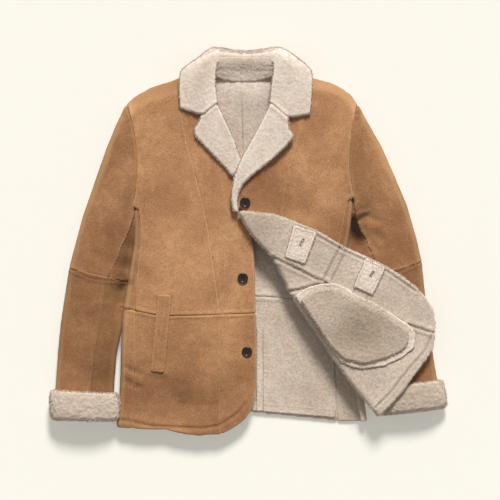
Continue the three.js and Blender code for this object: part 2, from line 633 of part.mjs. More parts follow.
/** The back: two halves over a centre seam, cut at the waist, with a vent in the lower part. */
function addBack() {
  const floor = () => 0;
  const top = () => SKIN;
  const neck = [-9, 353];
  const waist = { right: [-213, -150], centre: [-9, -118], left: [186, -128] };
  const hem = { right: [-213.2, -374], centre: [-9, -371], left: [198, -387] };
  const sideSeam = (rows) => reversed(rows.map((r) => [r.back, r.y]));
  const rightSeam = sideSeam(sideRightRows);
  const leftSeam = sideSeam(sideLeftRows);
  const rightHole = armhole(sleeveRightRows[0]);
  const leftHole = armhole(sleeveLeftRows[0]);
  add("back_upper_right", layer({
    bottom: straight([waist.right, waist.centre]),
    top: straight([...shoulderRight, [-70, 362], [-40, 355], neck]),
    left: chain([
      { points: rightSeam.slice(-WAIST_ROW_RIGHT - 1), steps: WAIST_ROW_RIGHT },
      { points: [rightSeam[rightSeam.length - 1], rightHole[0]], steps: 1 },
      { points: rightHole, steps: 8 },
    ]),
    right: straight([waist.centre, neck]),
  }, 8, WAIST_ROW_RIGHT + 9, top, floor), SUEDE);
  add("back_upper_left", layer({
    bottom: straight([waist.centre, waist.left]),
    top: straight([neck, [22, 355], [58, 362], ...reversed(shoulderLeft)]),
    left: straight([waist.centre, neck]),
    right: chain([
      { points: leftSeam.slice(-WAIST_ROW_LEFT - 1), steps: WAIST_ROW_LEFT },
      { points: [leftSeam[leftSeam.length - 1], leftHole[0]], steps: 1 },
      { points: leftHole, steps: 8 },
    ]),
  }, 8, WAIST_ROW_LEFT + 9, top, floor), SUEDE);
  add("back_lower_right", layer({
    bottom: straight([hem.right, hem.centre]),
    top: straight([waist.right, waist.centre]),
    left: straight([hem.right, waist.right]),
    right: straight([hem.centre, waist.centre]),
  }, 4, 4, top, floor), SUEDE);
  add("back_lower_left", layer({
    bottom: straight([hem.centre, hem.left]),
    top: straight([waist.centre, waist.left]),
    left: straight([hem.centre, waist.centre]),
    right: chain([{ points: leftSeam.slice(0, -WAIST_ROW_LEFT), steps: 5 }]),
  }, 4, 5, top, floor), SUEDE);
}

/** The binding of the back vent and the turned-up hem, both seen inside the open coat. */
function addBackTrims() {
  const rise = (high) => () => SKIN + LAY + high;
  const vent = { left: 22, right: 35, top: -186, bottom: -370, thick: 3 };
  const hem = { right: -208, left: 194, wide: 17, thick: 2.5 };
  const hemY = { right: -370, vent: -372, left: -385 };
  const rectangle = (x0, y0, x1, y1) => ({
    bottom: straight([[x0, y0], [x1, y0]]),
    top: straight([[x0, y1], [x1, y1]]),
    left: straight([[x0, y0], [x0, y1]]),
    right: straight([[x1, y0], [x1, y1]]),
  });
  const binding = rectangle(vent.left, vent.bottom, vent.right, vent.top);
  add("back_vent_edge", layer(binding, 2, 6, rise(vent.thick), rise(0)), WOOL);
  const rightHem = rectangle(hem.right, hemY.right, vent.left - 1, hemY.right + hem.wide);
  add("back_hem_right", layer(rightHem, 6, 1, rise(hem.thick), rise(0)), WOOL);
  const from = vent.right + 1;
  const leftHem = {
    bottom: straight([[from, hemY.vent], [hem.left, hemY.left]]),
    top: straight([[from, hemY.vent + hem.wide], [hem.left, hemY.left + hem.wide]]),
    left: straight([[from, hemY.vent], [from, hemY.vent + hem.wide]]),
    right: straight([[hem.left, hemY.left], [hem.left, hemY.left + hem.wide]]),
  };
  add("back_hem_left", layer(leftHem, 6, 1, rise(hem.thick), rise(0)), WOOL);
}

function addSides() {
  add("side_right_upper", sidePanel(sideRightRows.slice(0, WAIST_ROW_RIGHT + 1), -1), SUEDE);
  add("side_right_lower", sidePanel(sideRightRows.slice(WAIST_ROW_RIGHT), -1), SUEDE);
  add("side_left_upper", sidePanel(sideLeftRows.slice(0, WAIST_ROW_LEFT + 1), 1), SUEDE);
  add("side_left_lower", sidePanel(sideLeftRows.slice(WAIST_ROW_LEFT), 1), SUEDE);
}

function addRightFront() {
  const sideSeam = reversed(sideRightRows.map((r) => [r.front, r.y]));
  const hole = armhole(sleeveRightRows[0]);
  const cloth = [frontTop, skinUnder(frontTop)];
  add("front_right_side_upper", layer({
    bottom: straight(waistRight),
    top: straight(shoulderRight.slice(0, 4)),
    left: chain([
      { points: sideSeam.slice(-WAIST_ROW_RIGHT - 1), steps: WAIST_ROW_RIGHT },
      { points: [sideSeam[sideSeam.length - 1], hole[0]], steps: 1 },
      { points: hole, steps: 8 },
    ]),
    right: straight(princessRightUpper),
  }, 6, 14, ...cloth), SUEDE);
  add("front_right_centre_upper", layer({
    bottom: straight(waistRightCentre),
    top: straight(shoulderRight.slice(3)),
    left: straight(princessRightUpper),
    right: straight(frontEdgeRightUpper),
  }, 4, 14, ...cloth), SUEDE);
  add("front_right_side_lower", layer({
    bottom: straight(hemRight),
    top: straight(waistRight),
    left: straight(sideSeam.slice(0, -WAIST_ROW_RIGHT)),
    right: straight(princessRightLower),
  }, 8, 8, ...cloth), SUEDE);
  add("front_right_centre_lower", layer({
    bottom: straight(hemRightCentre),
    top: straight(waistRightCentre),
    left: straight(princessRightLower),
    right: straight(frontEdgeRightLower),
  }, 4, 8, ...cloth), SUEDE);
}

/** The part of the left front that stays down: the chest, and what lies under the turned-back part. */
function addLeftFront() {
  const sideSeam = reversed(sideLeftRows.map((r) => [r.front, r.y]));
  const hole = armhole(sleeveLeftRows[0]);
  const cloth = [leftFrontTop, skinUnder(leftFrontTop)];
  const roll = [
    [-25, 77], [-31, 90], [-29, 114], [-20, 154], [-4, 194], [22, 238], [53, 301], [59, 376], [72, 394],
  ];
  const free = FOLD_RADIUS + FOLD_TUCK + 3 * SEAM;
  const upperTuck = beside(foldUpper, free);
  const middleTuck = beside(foldMiddle, free);
  const lowerTuck = beside(foldLower.slice(0, 5), free);
  const princessStart = upperTuck[2];
  const waistStart = middleTuck[1];
  const waist = [waistStart, [201, -128]];
  const princess = [princessStart, ...princessLeftChest.slice(1)];
  add("front_left_centre_upper", layer({
    bottom: chain([{ points: [roll[0], upperTuck[0]], steps: 1 }, { points: upperTuck, steps: 4 }]),
    top: straight([[72, 394], [136, 361]]),
    left: straight(roll),
    right: straight(princess),
  }, 5, 14, ...cloth), SUEDE);
  add("front_left_side_upper", layer({
    bottom: straight(waist),
    top: straight(reversed(shoulderLeft.slice(0, 5))),
    left: chain([
      { points: [waistStart, princessStart], steps: 2 },
      { points: princess, steps: 14 },
    ]),
    right: chain([
      { points: sideSeam.slice(-WAIST_ROW_LEFT - 1), steps: WAIST_ROW_LEFT },
      { points: [sideSeam[sideSeam.length - 1], hole[0]], steps: 1 },
      { points: hole, steps: 11 },
    ]),
  }, 5, 16, ...cloth), SUEDE);
  const end = [216, -250];
  add("front_left_side_lower", layer({
    bottom: straight([lowerTuck[4], end]),
    top: straight(waist),
    left: straight(reversed(lowerTuck)),
    right: straight([end, ...sideSeam.slice(4, -WAIST_ROW_LEFT)]),
  }, 5, 6, ...cloth), SUEDE);
}

/** The turned-back lower part of the left front, wool side up. */
function addTurnedFront() {
  const cornerShare = 0.93; // the pointed piece between the two seams stops short of their crossing
  add("turned_centre_upper", turnedPiece({
    left: straight(foldUpper),
    bottom: straight(turnedEdgeUpper),
    top: straight(turnedPrincessUpper),
    right: straight(turnedWaist),
  }, 10, 5), WOOL);
  add("turned_side_upper", turnedPiece({
    left: straight(foldMiddle),
    bottom: (t) => straight(turnedPrincessUpper)(t * cornerShare),
    top: (t) => straight(turnedWaistSide)(t * cornerShare),
    right: straight([straight(turnedPrincessUpper)(cornerShare), straight(turnedWaistSide)(cornerShare)]),
  }, 6, 3), WOOL);
  add("turned_side_lower", turnedPiece({
    left: straight(foldLower),
    bottom: straight(turnedWaistSide),
    top: straight(reversed(turnedHem)),
    right: straight(turnedPrincessLower),
  }, 6, 10), WOOL);
  add("turned_centre_lower", layer({
    left: straight(turnedWaist),
    bottom: straight(turnedEdgeLower),
    top: straight(turnedPrincessLower),
    right: straight(turnedCorner),
  }, 12, 5, flapTop, skinUnder(flapTop)), WOOL);
}

/** The pocket bag, two plies sewn round their edge. */
function addPocketBag() {
  const above = (high) => (x, y) => flapTop(x, y) + 2 * LAY + high;
  const ply = 3.6;
  const upperPly = 4;
  const crownHigh = 7; // the bag is thickest near its middle
  const crown = (x, y) => crownHigh * Math.exp(-(((x - 215) / 120) ** 2) - ((y + 175) / 75) ** 2);
  add("pocket_bag_under", layer({
    left: straight([[106, -118], [118, -134], [152, -184], [178, -224], [207, -261]]),
    bottom: straight([[106, -118], [124, -103], [152, -93], [192, -91], [219, -103], [249, -123], [283, -135],
      [320, -161], [351, -181]]),
    top: straight([[207, -261], [225, -270], [253, -275], [300, -268], [341, -248]]),
    right: straight([[351, -181], [367, -198], [364, -228], [341, -248]]),
  }, 9, 6, above(ply), above(0)), WOOL);
  add("pocket_bag_upper", layer({
    left: straight([[120, -128], [158, -186], [184, -226], [214, -254]]),
    bottom: straight([
      [120, -128], [135, -112], [165, -102], [205, -112], [249, -139], [293, -156], [336, -186],
    ]),
    top: straight([[214, -254], [260, -262], [286, -255], [327, -240]]),
    right: straight([[336, -186], [350, -200], [349, -222], [327, -240]]),
  }, 8, 6, (x, y) => above(ply + LAY + upperPly + crown(x, y))(x, y), above(ply + LAY)), WOOL);
}

/** The two patches that carry the lower buttonholes. */
function addButtonholeTabs() {
  const thick = 3.4;
  const lift = 2.7 * SEWN; // clear of the flap where it bends towards the sleeve
  const above = (high) => (x, y) => flapTop(x, y) + lift + high;
  const corners = [
    { name: "buttonhole_tab_middle", at: [[103, 35], [150, 20], [125, -46], [84, -32]] },
    { name: "buttonhole_tab_bottom", at: [[260, -36], [300, -56], [273, -113], [234, -96]] },
  ];
  for (const { name, at: [a, b, c, d] } of corners) {
    add(name, layer({
      bottom: straight([d, c]),
      top: straight([a, b]),
      left: straight([d, a]),
      right: straight([c, b]),
    }, 4, 5, above(thick), above(0)), WOOL);
  }
}

function addCollarAndLapels() {
  add("collar_leaf", collar(), WOOL);
  const standRise = 14; // the neck stand slants up from the back to the collar
  const standTop = (x, y) => 2 * SKIN + SEWN + standRise * smooth(y, 362, 404);
  add("collar_stand", layer({
    bottom: straight([[-66, 364], [-40, 357], [-9, 355], [22, 357], [54, 364]]),
    top: straight([[-62, 402], [54, 402]]),
    left: straight([[-66, 364], [-62, 402]]),
    right: straight([[54, 364], [54, 402]]),
  }, 6, 3, standTop, skinUnder(standTop)), WOOL);
  const onRight = (high) => (x, y) => frontTop(x, y) + SEWN + high;
  add("lapel_right", layer({
    bottom: straight([[-32, 146], [-18, 158]]),
    top: straight([[-97, 277], [-66, 300]]),
    left: straight([[-32, 146], [-46, 164], [-79, 198], [-117, 239], [-101, 264], [-97, 277]]),
    right: straight([[-18, 158], [-12, 172], [-35, 235], [-66, 300]]),
  }, 4, 10, onRight(WOOL_PLY), onRight(0)), WOOL);
  const overRight = (x) => FRONT_TOP + WOOL_PLY + 2 * SEWN * (1 - smooth(x, -5, 30));
  const onLeft = (high) => (x, y) => Math.max(leftFrontTop(x, y), overRight(x)) + SEWN + high;
  add("lapel_left", layer({
    bottom: straight([[-28, 70], [-21, 66]]),
    top: straight([[53, 300], [88, 271]]),
    left: straight([[-28, 70], [-32, 86], [-31, 114], [-22, 154], [-4, 194], [22, 238], [53, 300]]),
    right: straight([[-21, 66], [-24, 92], [-19, 114], [-8, 132], [28, 162], [56, 184], [101, 228], [88, 250],
      [88, 271]]),
  }, 4, 12, onLeft(WOOL_PLY), onLeft(0)), WOOL);
}

/** The welt of the right front's slanted pocket, laid over the waist seam. */
function addPocketWelt() {
  const thick = 3.5;
  const on = (high) => (x, y) => frontTop(x, y) + 2 * LAY + high;
  add("pocket_welt_right", layer({
    bottom: straight([[-210, -282], [-182, -285]]),
    top: straight([[-194, -116], [-166, -117]]),
    left: straight([[-210, -282], [-194, -116]]),
    right: straight([[-182, -285], [-166, -117]]),
  }, 2, 8, on(thick), on(0)), SUEDE);
}

function addSleeves() {
  const sides = [["right", sleeveRightRows], ["left", sleeveLeftRows]];
  for (const [side, rows] of sides) {
    add(`sleeve_${side}_top_upper`, sleevePanel(rows, 0, ELBOW_ROW, true), SUEDE);
    add(`sleeve_${side}_under_upper`, sleevePanel(rows, 0, ELBOW_ROW, false), SUEDE);
    add(`sleeve_${side}_top_lower`, sleevePanel(rows, ELBOW_ROW, rows.length - 1, true), SUEDE);
    add(`sleeve_${side}_under_lower`, sleevePanel(rows, ELBOW_ROW, rows.length - 1, false), SUEDE);
    add(`cuff_${side}`, cuff(rows), WOOL);
  }
}

function addButtons(wasm) {
  for (const { name, at: [x, y] } of BUTTONS) {
    const height = name === "button_top" ? leftFrontTop(x, y) : frontTop(x, y);
    add(name, buttonShape(wasm), HORN).position.set(x, y, height + LAY);
  }
}

const wasm = await Module();
wasm.setup();
addBack();
addBackTrims();
addSides();
addRightFront();
addLeftFront();
addTurnedFront();
addPocketBag();
addButtonholeTabs();
addCollarAndLapels();
addPocketWelt();
addSleeves();
addButtons(wasm);

const middle = new THREE.Box3().setFromObject(coat).getCenter(new THREE.Vector3());
for (const mesh of coat.children) {
  mesh.position.sub(new THREE.Vector3(middle.x, middle.y, 0));
}

export default coat;
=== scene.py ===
"""A tan shearling coat laid flat on its back, its left front turned back to show the wool.

Each cut piece of hide replaces its solid of the frame, and takes its place from it. Its wall is remeshed,
gets its seams, folds and pile, and carries point attributes that say where wool, seams and wear are.
Right and left are the wearer's. Plan points are millimetres on the pattern table, as the frame's source
has them; everything else is metres.
"""

import json
import math

import bmesh
import bpy
import numpy as np
from mathutils import Matrix, Vector, noise

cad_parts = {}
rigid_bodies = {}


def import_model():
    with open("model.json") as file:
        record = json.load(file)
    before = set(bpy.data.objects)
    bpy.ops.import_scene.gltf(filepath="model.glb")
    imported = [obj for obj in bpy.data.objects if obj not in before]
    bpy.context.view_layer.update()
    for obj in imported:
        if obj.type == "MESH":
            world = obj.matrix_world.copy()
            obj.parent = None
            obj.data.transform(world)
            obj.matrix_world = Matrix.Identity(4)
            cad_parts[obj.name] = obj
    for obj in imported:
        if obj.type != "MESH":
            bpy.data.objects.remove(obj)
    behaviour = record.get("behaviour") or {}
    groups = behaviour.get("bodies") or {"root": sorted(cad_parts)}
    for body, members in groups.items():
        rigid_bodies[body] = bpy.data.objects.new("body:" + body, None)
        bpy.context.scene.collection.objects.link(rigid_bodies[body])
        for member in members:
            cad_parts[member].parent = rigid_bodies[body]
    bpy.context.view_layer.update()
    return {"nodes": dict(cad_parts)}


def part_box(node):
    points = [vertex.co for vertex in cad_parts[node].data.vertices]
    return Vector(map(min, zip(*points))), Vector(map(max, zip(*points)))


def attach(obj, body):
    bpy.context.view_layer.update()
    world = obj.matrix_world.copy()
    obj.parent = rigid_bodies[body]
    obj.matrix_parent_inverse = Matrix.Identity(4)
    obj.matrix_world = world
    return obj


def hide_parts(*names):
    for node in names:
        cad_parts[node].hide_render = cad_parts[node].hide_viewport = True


bl_info = {
    "name": "Shearling Coat",
    "version": (1, 0, 0),
    "blender": (4, 5, 0),
    "location": "View3D > Sidebar > Coat",
    "description": "Sews a shearling coat over its packed frame, with its buttons, wool and studio",
    "category": "Add Mesh",
}

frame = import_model()

MM = 0.001
PLAN_MIDDLE = (2.9, 1.4)

RIGHT_FRONT = (
    "front_right_side_upper",
    "front_right_centre_upper",
    "front_right_side_lower",
    "front_right_centre_lower",
)
LEFT_FRONT = ("front_left_centre_upper", "front_left_side_upper", "front_left_side_lower")
BACK = ("back_upper_right", "back_upper_left", "back_lower_right", "back_lower_left")
SIDES = ("side_right_upper", "side_right_lower", "side_left_upper", "side_left_lower")
SLEEVES = tuple(
    f"sleeve_{side}_{part}"
    for side in ("right", "left")
    for part in ("top_upper", "under_upper", "top_lower", "under_lower")
)
TURNED = ("turned_centre_upper", "turned_side_upper", "turned_side_lower", "turned_centre_lower")
WOOL_TRIMS = ("back_vent_edge", "back_hem_right", "back_hem_left")
BUTTONS = ("button_top", "button_middle", "button_bottom")
TABS = ("buttonhole_tab_middle", "buttonhole_tab_bottom")

# Seam lines on the plan: how they are sewn, and the points that they run through
SEAMS = (
    ("felled", ((-277, -143), (-243, -151), (-200, -160), (-168, -162), (-58, -159), (18, -156))),
    ("plain", ((-58, -159), (-86, 37), (-97, 86), (-117, 166), (-132, 218), (-147, 295), (-152, 357))),
    ("plain", ((-57, -419), (-57, -290), (-58, -160))),
    ("plain", ((-251, -414), (-246, -293), (-244, -194), (-242, -97), (-239, -51), (-233, -7), (-236, 72))),
    ("plain", ((66, -30), (80, 92), (92, 167), (116, 246), (130, 320), (136, 361))),
    ("plain", ((201, -128), (197, -62), (201, -11), (210, 35), (220, 92))),
    ("felled", ((-388, -58), (-345, -78), (-312, -84), (-264, -87))),
    ("felled", ((250, -74), (330, -66), (381, -44))),
    ("topstitch", ((-283, -388), (-248, -393), (-210, -402), (-147, -405), (-97, -407), (-62, -401),
                   (-40, -388), (-18, -372), (-4, -352))),
    ("armhole", ((-250, 78), (-241, 134), (-241, 190), (-248, 246), (-264, 301))),
    ("armhole", ((234, 99), (223, 150), (225, 200), (230, 250), (242, 301))),
)
SLEEVE_SEAMS = (
    ("sleeve", ((-250, 81), (-251, 68), (-255, 52), (-263, 26), (-278, -16), (-295, -60), (-304, -78),
                (-314, -135), (-323, -188), (-334, -240), (-340, -302), (-342, -373))),
    ("plain", ((234, 102), (237, 89), (242, 70), (251, 44), (263, 14), (278, -32), (289, -65), (301, -124),
                (313, -195), (324, -244), (336, -298), (347, -356))),
)
# Profiles across a seam: groove depth and half width, ridge height, half width and place, all in millimetres,
# and how dark the seam is painted, partly its own line and partly painted shade in its groove
SEAM_PROFILES = {
    "felled": (1.0, 1.3, 1.7, 2.4, 4.2, 0.5),
    "plain": (0.2, 2.2, 0.9, 2.6, 3.4, 0.10),
    "sleeve": (0.9, 1.8, 0.5, 3.0, 4.5, 0.55),
    "topstitch": (1.5, 2.0, 0.7, 5.0, 7.5, 0.35),
    "armhole": (0.5, 1.8, 1.9, 2.6, 4.6, 0.25),
    "soft": (0.9, 1.8, 1.5, 4.0, 5.5, 0.22),
    "fleece": (2.6, 2.4, 1.9, 4.2, 6.5, 0.9),
    "band": (2.2, 2.0, 1.2, 3.2, 5.0, 0.8),
}
# Places where the suede is painted darker and lighter: mostly painted shade and light, darker at the shoulders,
# towards the hem, under the lapels and by the armholes, with some of the hide's own patches; x, y and radius in
# millimetres, and by how much
SUEDE_SHADE_AND_TONE_CLOUDS = (
    (-232, -320, 90, -0.26),
    (-90, -360, 100, -0.16),
    (-140, -285, 70, -0.12),
    (-195, 344, 40, -0.28),
    (-135, 364, 38, -0.26),
    (-240, 318, 28, -0.20),
    (-95, 380, 30, -0.18),
    (-100, 345, 50, -0.08),
    (200, 340, 36, -0.10),
    (140, 366, 34, -0.12),
    (-200, 150, 60, -0.07),
    (-150, 20, 60, 0.10),
    (-120, 90, 50, -0.07),
    (-160, -100, 50, -0.08),
    (-40, 0, 60, 0.03),
    (222, 40, 40, -0.22),
    (18, 140, 28, -0.24),
    (4, 108, 22, -0.16),
    (70, 100, 50, -0.20),
    (60, 160, 30, -0.12),
    (150, 40, 50, -0.06),
    (-20, -290, 40, -0.10),
    (-330, 0, 70, -0.05),
    (-290, 180, 60, 0.10),
    (300, 150, 60, 0.06),
)
# The deep shade of the armpits' hollows, on the under sleeves
ARMPIT_CLOUDS = (
    (-250, 30, 14, -0.40),
    (-253, 0, 16, -0.45),
    (-259, -40, 18, -0.42),
    (-274, -98, 20, -0.45),
    (234, 48, 14, -0.70),
    (241, 30, 18, -0.85),
    (250, 8, 15, -0.60),
)
# Places where the wool is painted darker and lighter: painted shade on the collar's top roll and on the
# turned-back front, painted light on the back under the neck, with some of the wool's own patches; x, y and
# radius in millimetres, and by how much
WOOL_SHADE_AND_TONE_CLOUDS = (
    (-5, 325, 70, 0.15),
    (-40, 408, 26, -0.10),
    (0, 408, 26, -0.10),
    (40, 408, 26, -0.10),
    (238, -187, 48, -0.26),
    (290, -160, 60, -0.08),
    (33, 31, 45, -0.20),
    (150, -60, 40, -0.06),
    (160, -315, 80, -0.14),
    (90, -200, 60, -0.08),
    (250, -60, 40, 0.05),
)
# Swells of the back's wool under the neck
BACK_SWELLS = (
    ((-20, 342), (10, 342), 75, 17.0),
)
# Deep dents that the whole upper wall of a sleeve follows: from, to, half width and height
HOLLOWS = (
    ((246, 44), (256, 10), 12, -8.0),
    ((-262, -92), (-276, -104), 9, -6.0),
)
# Shallow creases and swells of the suede: from, to, half width and height in millimetres
CREASES = (
    ((-196, -118), (-165, -112), 5, 1.6),
    ((-212, -286), (-180, -290), 7, 1.6),
    ((-214, -292), (-176, -298), 8, -1.2),
    ((-262, -276), (-232, -290), 7, -3.2),
    ((-262, -306), (-236, -318), 7, -3.2),
    ((-190, -330), (-140, -352), 30, -2.0),
    ((-120, -300), (-60, -270), 34, 1.6),
    ((-50, -330), (10, -318), 18, -1.8),
    ((-35, -262), (6, -246), 10, 1.2),
    ((-240, -60), (-200, -96), 16, -1.2),
    ((-60, 150), (-120, 60), 30, 1.2),
    ((190, 250), (120, 160), 40, 1.4),
    ((60, 40), (120, 70), 26, -1.6),
    ((196, 60), (150, 10), 18, -1.6),
)
SLEEVE_CREASES = (
    ((-262, -60), (-330, -30), 12, -2.0),
    ((-268, -130), (-340, -165), 14, -1.8),
    ((-300, 110), (-262, 60), 16, -1.6),
    ((-385, -130), (-350, -160), 18, 1.2),
    ((-400, -260), (-340, -290), 20, -1.4),
    ((268, 30), (292, 6), 10, -3.0),
    ((300, 60), (268, 90), 12, 1.8),
    ((250, 62), (266, 68), 6, 2.4),
    ((350, -20), (384, -10), 16, -1.4),
    ((330, 120), (290, 90), 22, -1.4),
)


class HideSettings(bpy.types.PropertyGroup):
    """Sizes and colours of the suede side."""

    mesh_step: bpy.props.FloatProperty(
        name="Mesh step", description="Edge length of the suede's mesh", default=3.0 * MM, unit="LENGTH"
    )
    rounding: bpy.props.IntProperty(
        name="Rounding", description="How often the cut edges are smoothed", default=7, min=0
    )
    suede: bpy.props.FloatVectorProperty(
        name="Suede", description="Main colour of the napped side", subtype="COLOR",
        default=(0.565, 0.300, 0.145),
    )
    suede_dark: bpy.props.FloatVectorProperty(
        name="Suede shade", description="Colour of the nap where it is brushed down", subtype="COLOR",
        default=(0.300, 0.135, 0.060),
    )
    thread: bpy.props.FloatVectorProperty(
        name="Thread", description="Colour of the sewing thread", subtype="COLOR", default=(0.30, 0.16, 0.075)
    )


class WoolSettings(bpy.types.PropertyGroup):
    """Sizes and colours of the wool side."""

    mesh_step: bpy.props.FloatProperty(
        name="Mesh step", description="Edge length of the wool's mesh", default=2.6 * MM, unit="LENGTH"
    )
    clump_height: bpy.props.FloatProperty(
        name="Clump height", description="How far the clumps of pile stand out", default=0.7 * MM,
        unit="LENGTH",
    )
    wool: bpy.props.FloatVectorProperty(
        name="Wool", description="Colour of the pile's tips", subtype="COLOR", default=(0.80, 0.690, 0.590)
    )
    wool_deep: bpy.props.FloatVectorProperty(
        name="Wool depth", description="Colour between the clumps", subtype="COLOR",
        default=(0.50, 0.390, 0.285),
    )
    lock_length: bpy.props.FloatProperty(
        name="Lock length", description="Length of the loose wool locks", default=4.5 * MM, unit="LENGTH"
    )
    seed: bpy.props.IntProperty(name="Seed", description="Seed of the locks' places", default=11)


class TrimSettings(bpy.types.PropertyGroup):
    """Buttons and stitches."""

    horn: bpy.props.FloatVectorProperty(
        name="Button", description="Colour of the buttons", subtype="COLOR", default=(0.012, 0.009, 0.008)
    )
    stitch_length: bpy.props.FloatProperty(
        name="Stitch", description="Length of one stitch", default=3.6 * MM, unit="LENGTH"
    )
    stitch_gap: bpy.props.FloatProperty(
        name="Stitch gap", description="Space between two stitches", default=1.0 * MM, unit="LENGTH"
    )


class StageSettings(bpy.types.PropertyGroup):
    """Floor, camera and light."""

    picture_width: bpy.props.FloatProperty(
        name="Picture width", description="Width of the floor that the picture shows", default=1.1,
        unit="LENGTH",
    )
    camera_height: bpy.props.FloatProperty(
        name="Camera height", description="Height of the camera over the floor", default=5.0, unit="LENGTH"
    )
    floor: bpy.props.FloatVectorProperty(
        name="Floor", description="Colour of the floor", subtype="COLOR", default=(0.70, 0.68, 0.612)
    )
    glow: bpy.props.FloatProperty(
        name="Glow", description="Light that comes through the floor's pale sheet", default=0.27, min=0
    )
    sun: bpy.props.FloatProperty(
        name="Window light", description="Strength of the main light", default=3.7, min=0
    )
    sun_height: bpy.props.FloatProperty(
        name="Light height", description="Height of the main light over the floor, in degrees", default=36
    )
    room: bpy.props.FloatProperty(
        name="Room light", description="Strength of the even light", default=0.32, min=0
    )


def hide():
    return bpy.context.scene.coat_hide


def wool():
    return bpy.context.scene.coat_wool


def trim():
    return bpy.context.scene.coat_trim


def studio():
    return bpy.context.scene.coat_stage


def plan(x, y, z=0.0):
    """A point of the plan, in millimetres, as a place in metres."""
    return Vector(((x - PLAN_MIDDLE[0]) * MM, (y - PLAN_MIDDLE[1]) * MM, z * MM))


def line_distance(points, line):
    """Distance of many x, y places from a line of points."""
    nearest = np.full(len(points), np.inf)
    for a, b in zip(line[:-1], line[1:]):
        start = np.array(a)
        along = np.array(b) - start
        share = np.clip((points - start) @ along / (along @ along), 0, 1)
        nearest = np.minimum(nearest, np.linalg.norm(points - start - share[:, None] * along, axis=1))
    return nearest


def plan_line(points):
    return [tuple(plan(x, y)[:2]) for x, y in points]


def smoothstep(value, low, high):
    share = np.clip((value - low) / (high - low), 0, 1)
    return share * share * (3 - 2 * share)


def deselect():
    for obj in bpy.context.selected_objects:
        obj.select_set(False)


def activate(obj):
    deselect()
    obj.select_set(True)
    bpy.context.view_layer.objects.active = obj


def apply_modifier(obj, kind, **values):
    activate(obj)
    modifier = obj.modifiers.new(kind.title(), kind)
    for name, value in values.items():
        setattr(modifier, name, value)
    bpy.ops.object.modifier_apply(modifier=modifier.name)


def coordinates(mesh):
    flat = np.empty(len(mesh.vertices) * 3)
    mesh.vertices.foreach_get("co", flat)
    return flat.reshape(-1, 3)


def point_normals(mesh):
    flat = np.empty(len(mesh.vertices) * 3)
    mesh.vertex_normals.foreach_get("vector", flat)
    return flat.reshape(-1, 3)


def place_points(mesh, points):
    mesh.vertices.foreach_set("co", np.ascontiguousarray(points, dtype=np.float32).ravel())
    mesh.update()


def paint(mesh, name, values):
    """Stores one number for each point, which a material reads by its name."""
    layer = mesh.attributes.get(name) or mesh.attributes.new(name, "FLOAT", "POINT")
    layer.data.foreach_set("value", np.ascontiguousarray(values, dtype=np.float32))


def solid_copy(node, name):
    """A new object with the CAD node's mesh, its loose triangles joined."""
    mesh = frame["nodes"][node].data.copy()
    mesh.name = name
    mesh.materials.clear()
    form = bmesh.new()
    form.from_mesh(mesh)
    bmesh.ops.remove_doubles(form, verts=form.verts, dist=0.01 * MM)
    form.to_mesh(mesh)
    form.free()
    obj = bpy.data.objects.new(name, mesh)
    bpy.context.scene.collection.objects.link(obj)
    return obj


def finish_piece(obj, node, material):
    """Dresses a finished sheet of hide and puts it in its solid's place."""
    obj.data.materials.clear()
    obj.data.materials.append(material)
    obj.data.polygons.foreach_set("use_smooth", [True] * len(obj.data.polygons))
    obj.data.update()
    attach(obj, "root")
    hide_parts(node)


def new_group(name, inputs, outputs):
    """An empty shader node group with its sockets, and its own input and output nodes."""
    group = bpy.data.node_groups.new(name, "ShaderNodeTree")
    for kind, label, value in inputs:
        socket = group.interface.new_socket(label, in_out="INPUT", socket_type=kind)
        socket.default_value = value
    for kind, label in outputs:
        group.interface.new_socket(label, in_out="OUTPUT", socket_type=kind)
    entry = group.nodes.new("NodeGroupInput")
    leave = group.nodes.new("NodeGroupOutput")
    return group, entry, leave


def noise_node(tree, scale, detail, roughness=0.5, distortion=0.0):
    node = tree.nodes.new("ShaderNodeTexNoise")
    node.inputs["Scale"].default_value = scale
    node.inputs["Detail"].default_value = detail
    node.inputs["Roughness"].default_value = roughness
    node.inputs["Distortion"].default_value = distortion
    return node


def mix_colour(tree, factor, a, b, blend="MIX"):
    node = tree.nodes.new("ShaderNodeMix")
    node.data_type = "RGBA"
    node.blend_type = blend
    for socket, value in zip((0, 6, 7), (factor, a, b)):
        if isinstance(value, bpy.types.NodeSocket):
            tree.links.new(value, node.inputs[socket])
        elif isinstance(value, (int, float)):
            node.inputs[socket].default_value = value
        else:
            node.inputs[socket].default_value = (*value, 1)
    return node.outputs[2]


def maths(tree, operation, a, b=0.0):
    node = tree.nodes.new("ShaderNodeMath")
    node.operation = operation
    for socket, value in zip(node.inputs, (a, b)):
        if isinstance(value, bpy.types.NodeSocket):
            tree.links.new(value, socket)
        else:
            socket.default_value = value
    return node.outputs[0]


def ramp(tree, value, low, high, to_low=0.0, to_high=1.0):
    node = tree.nodes.new("ShaderNodeMapRange")
    tree.links.new(value, node.inputs["Value"])
    for label, number in zip(("From Min", "From Max", "To Min", "To Max"), (low, high, to_low, to_high)):
        node.inputs[label].default_value = number
    return node.outputs["Result"]


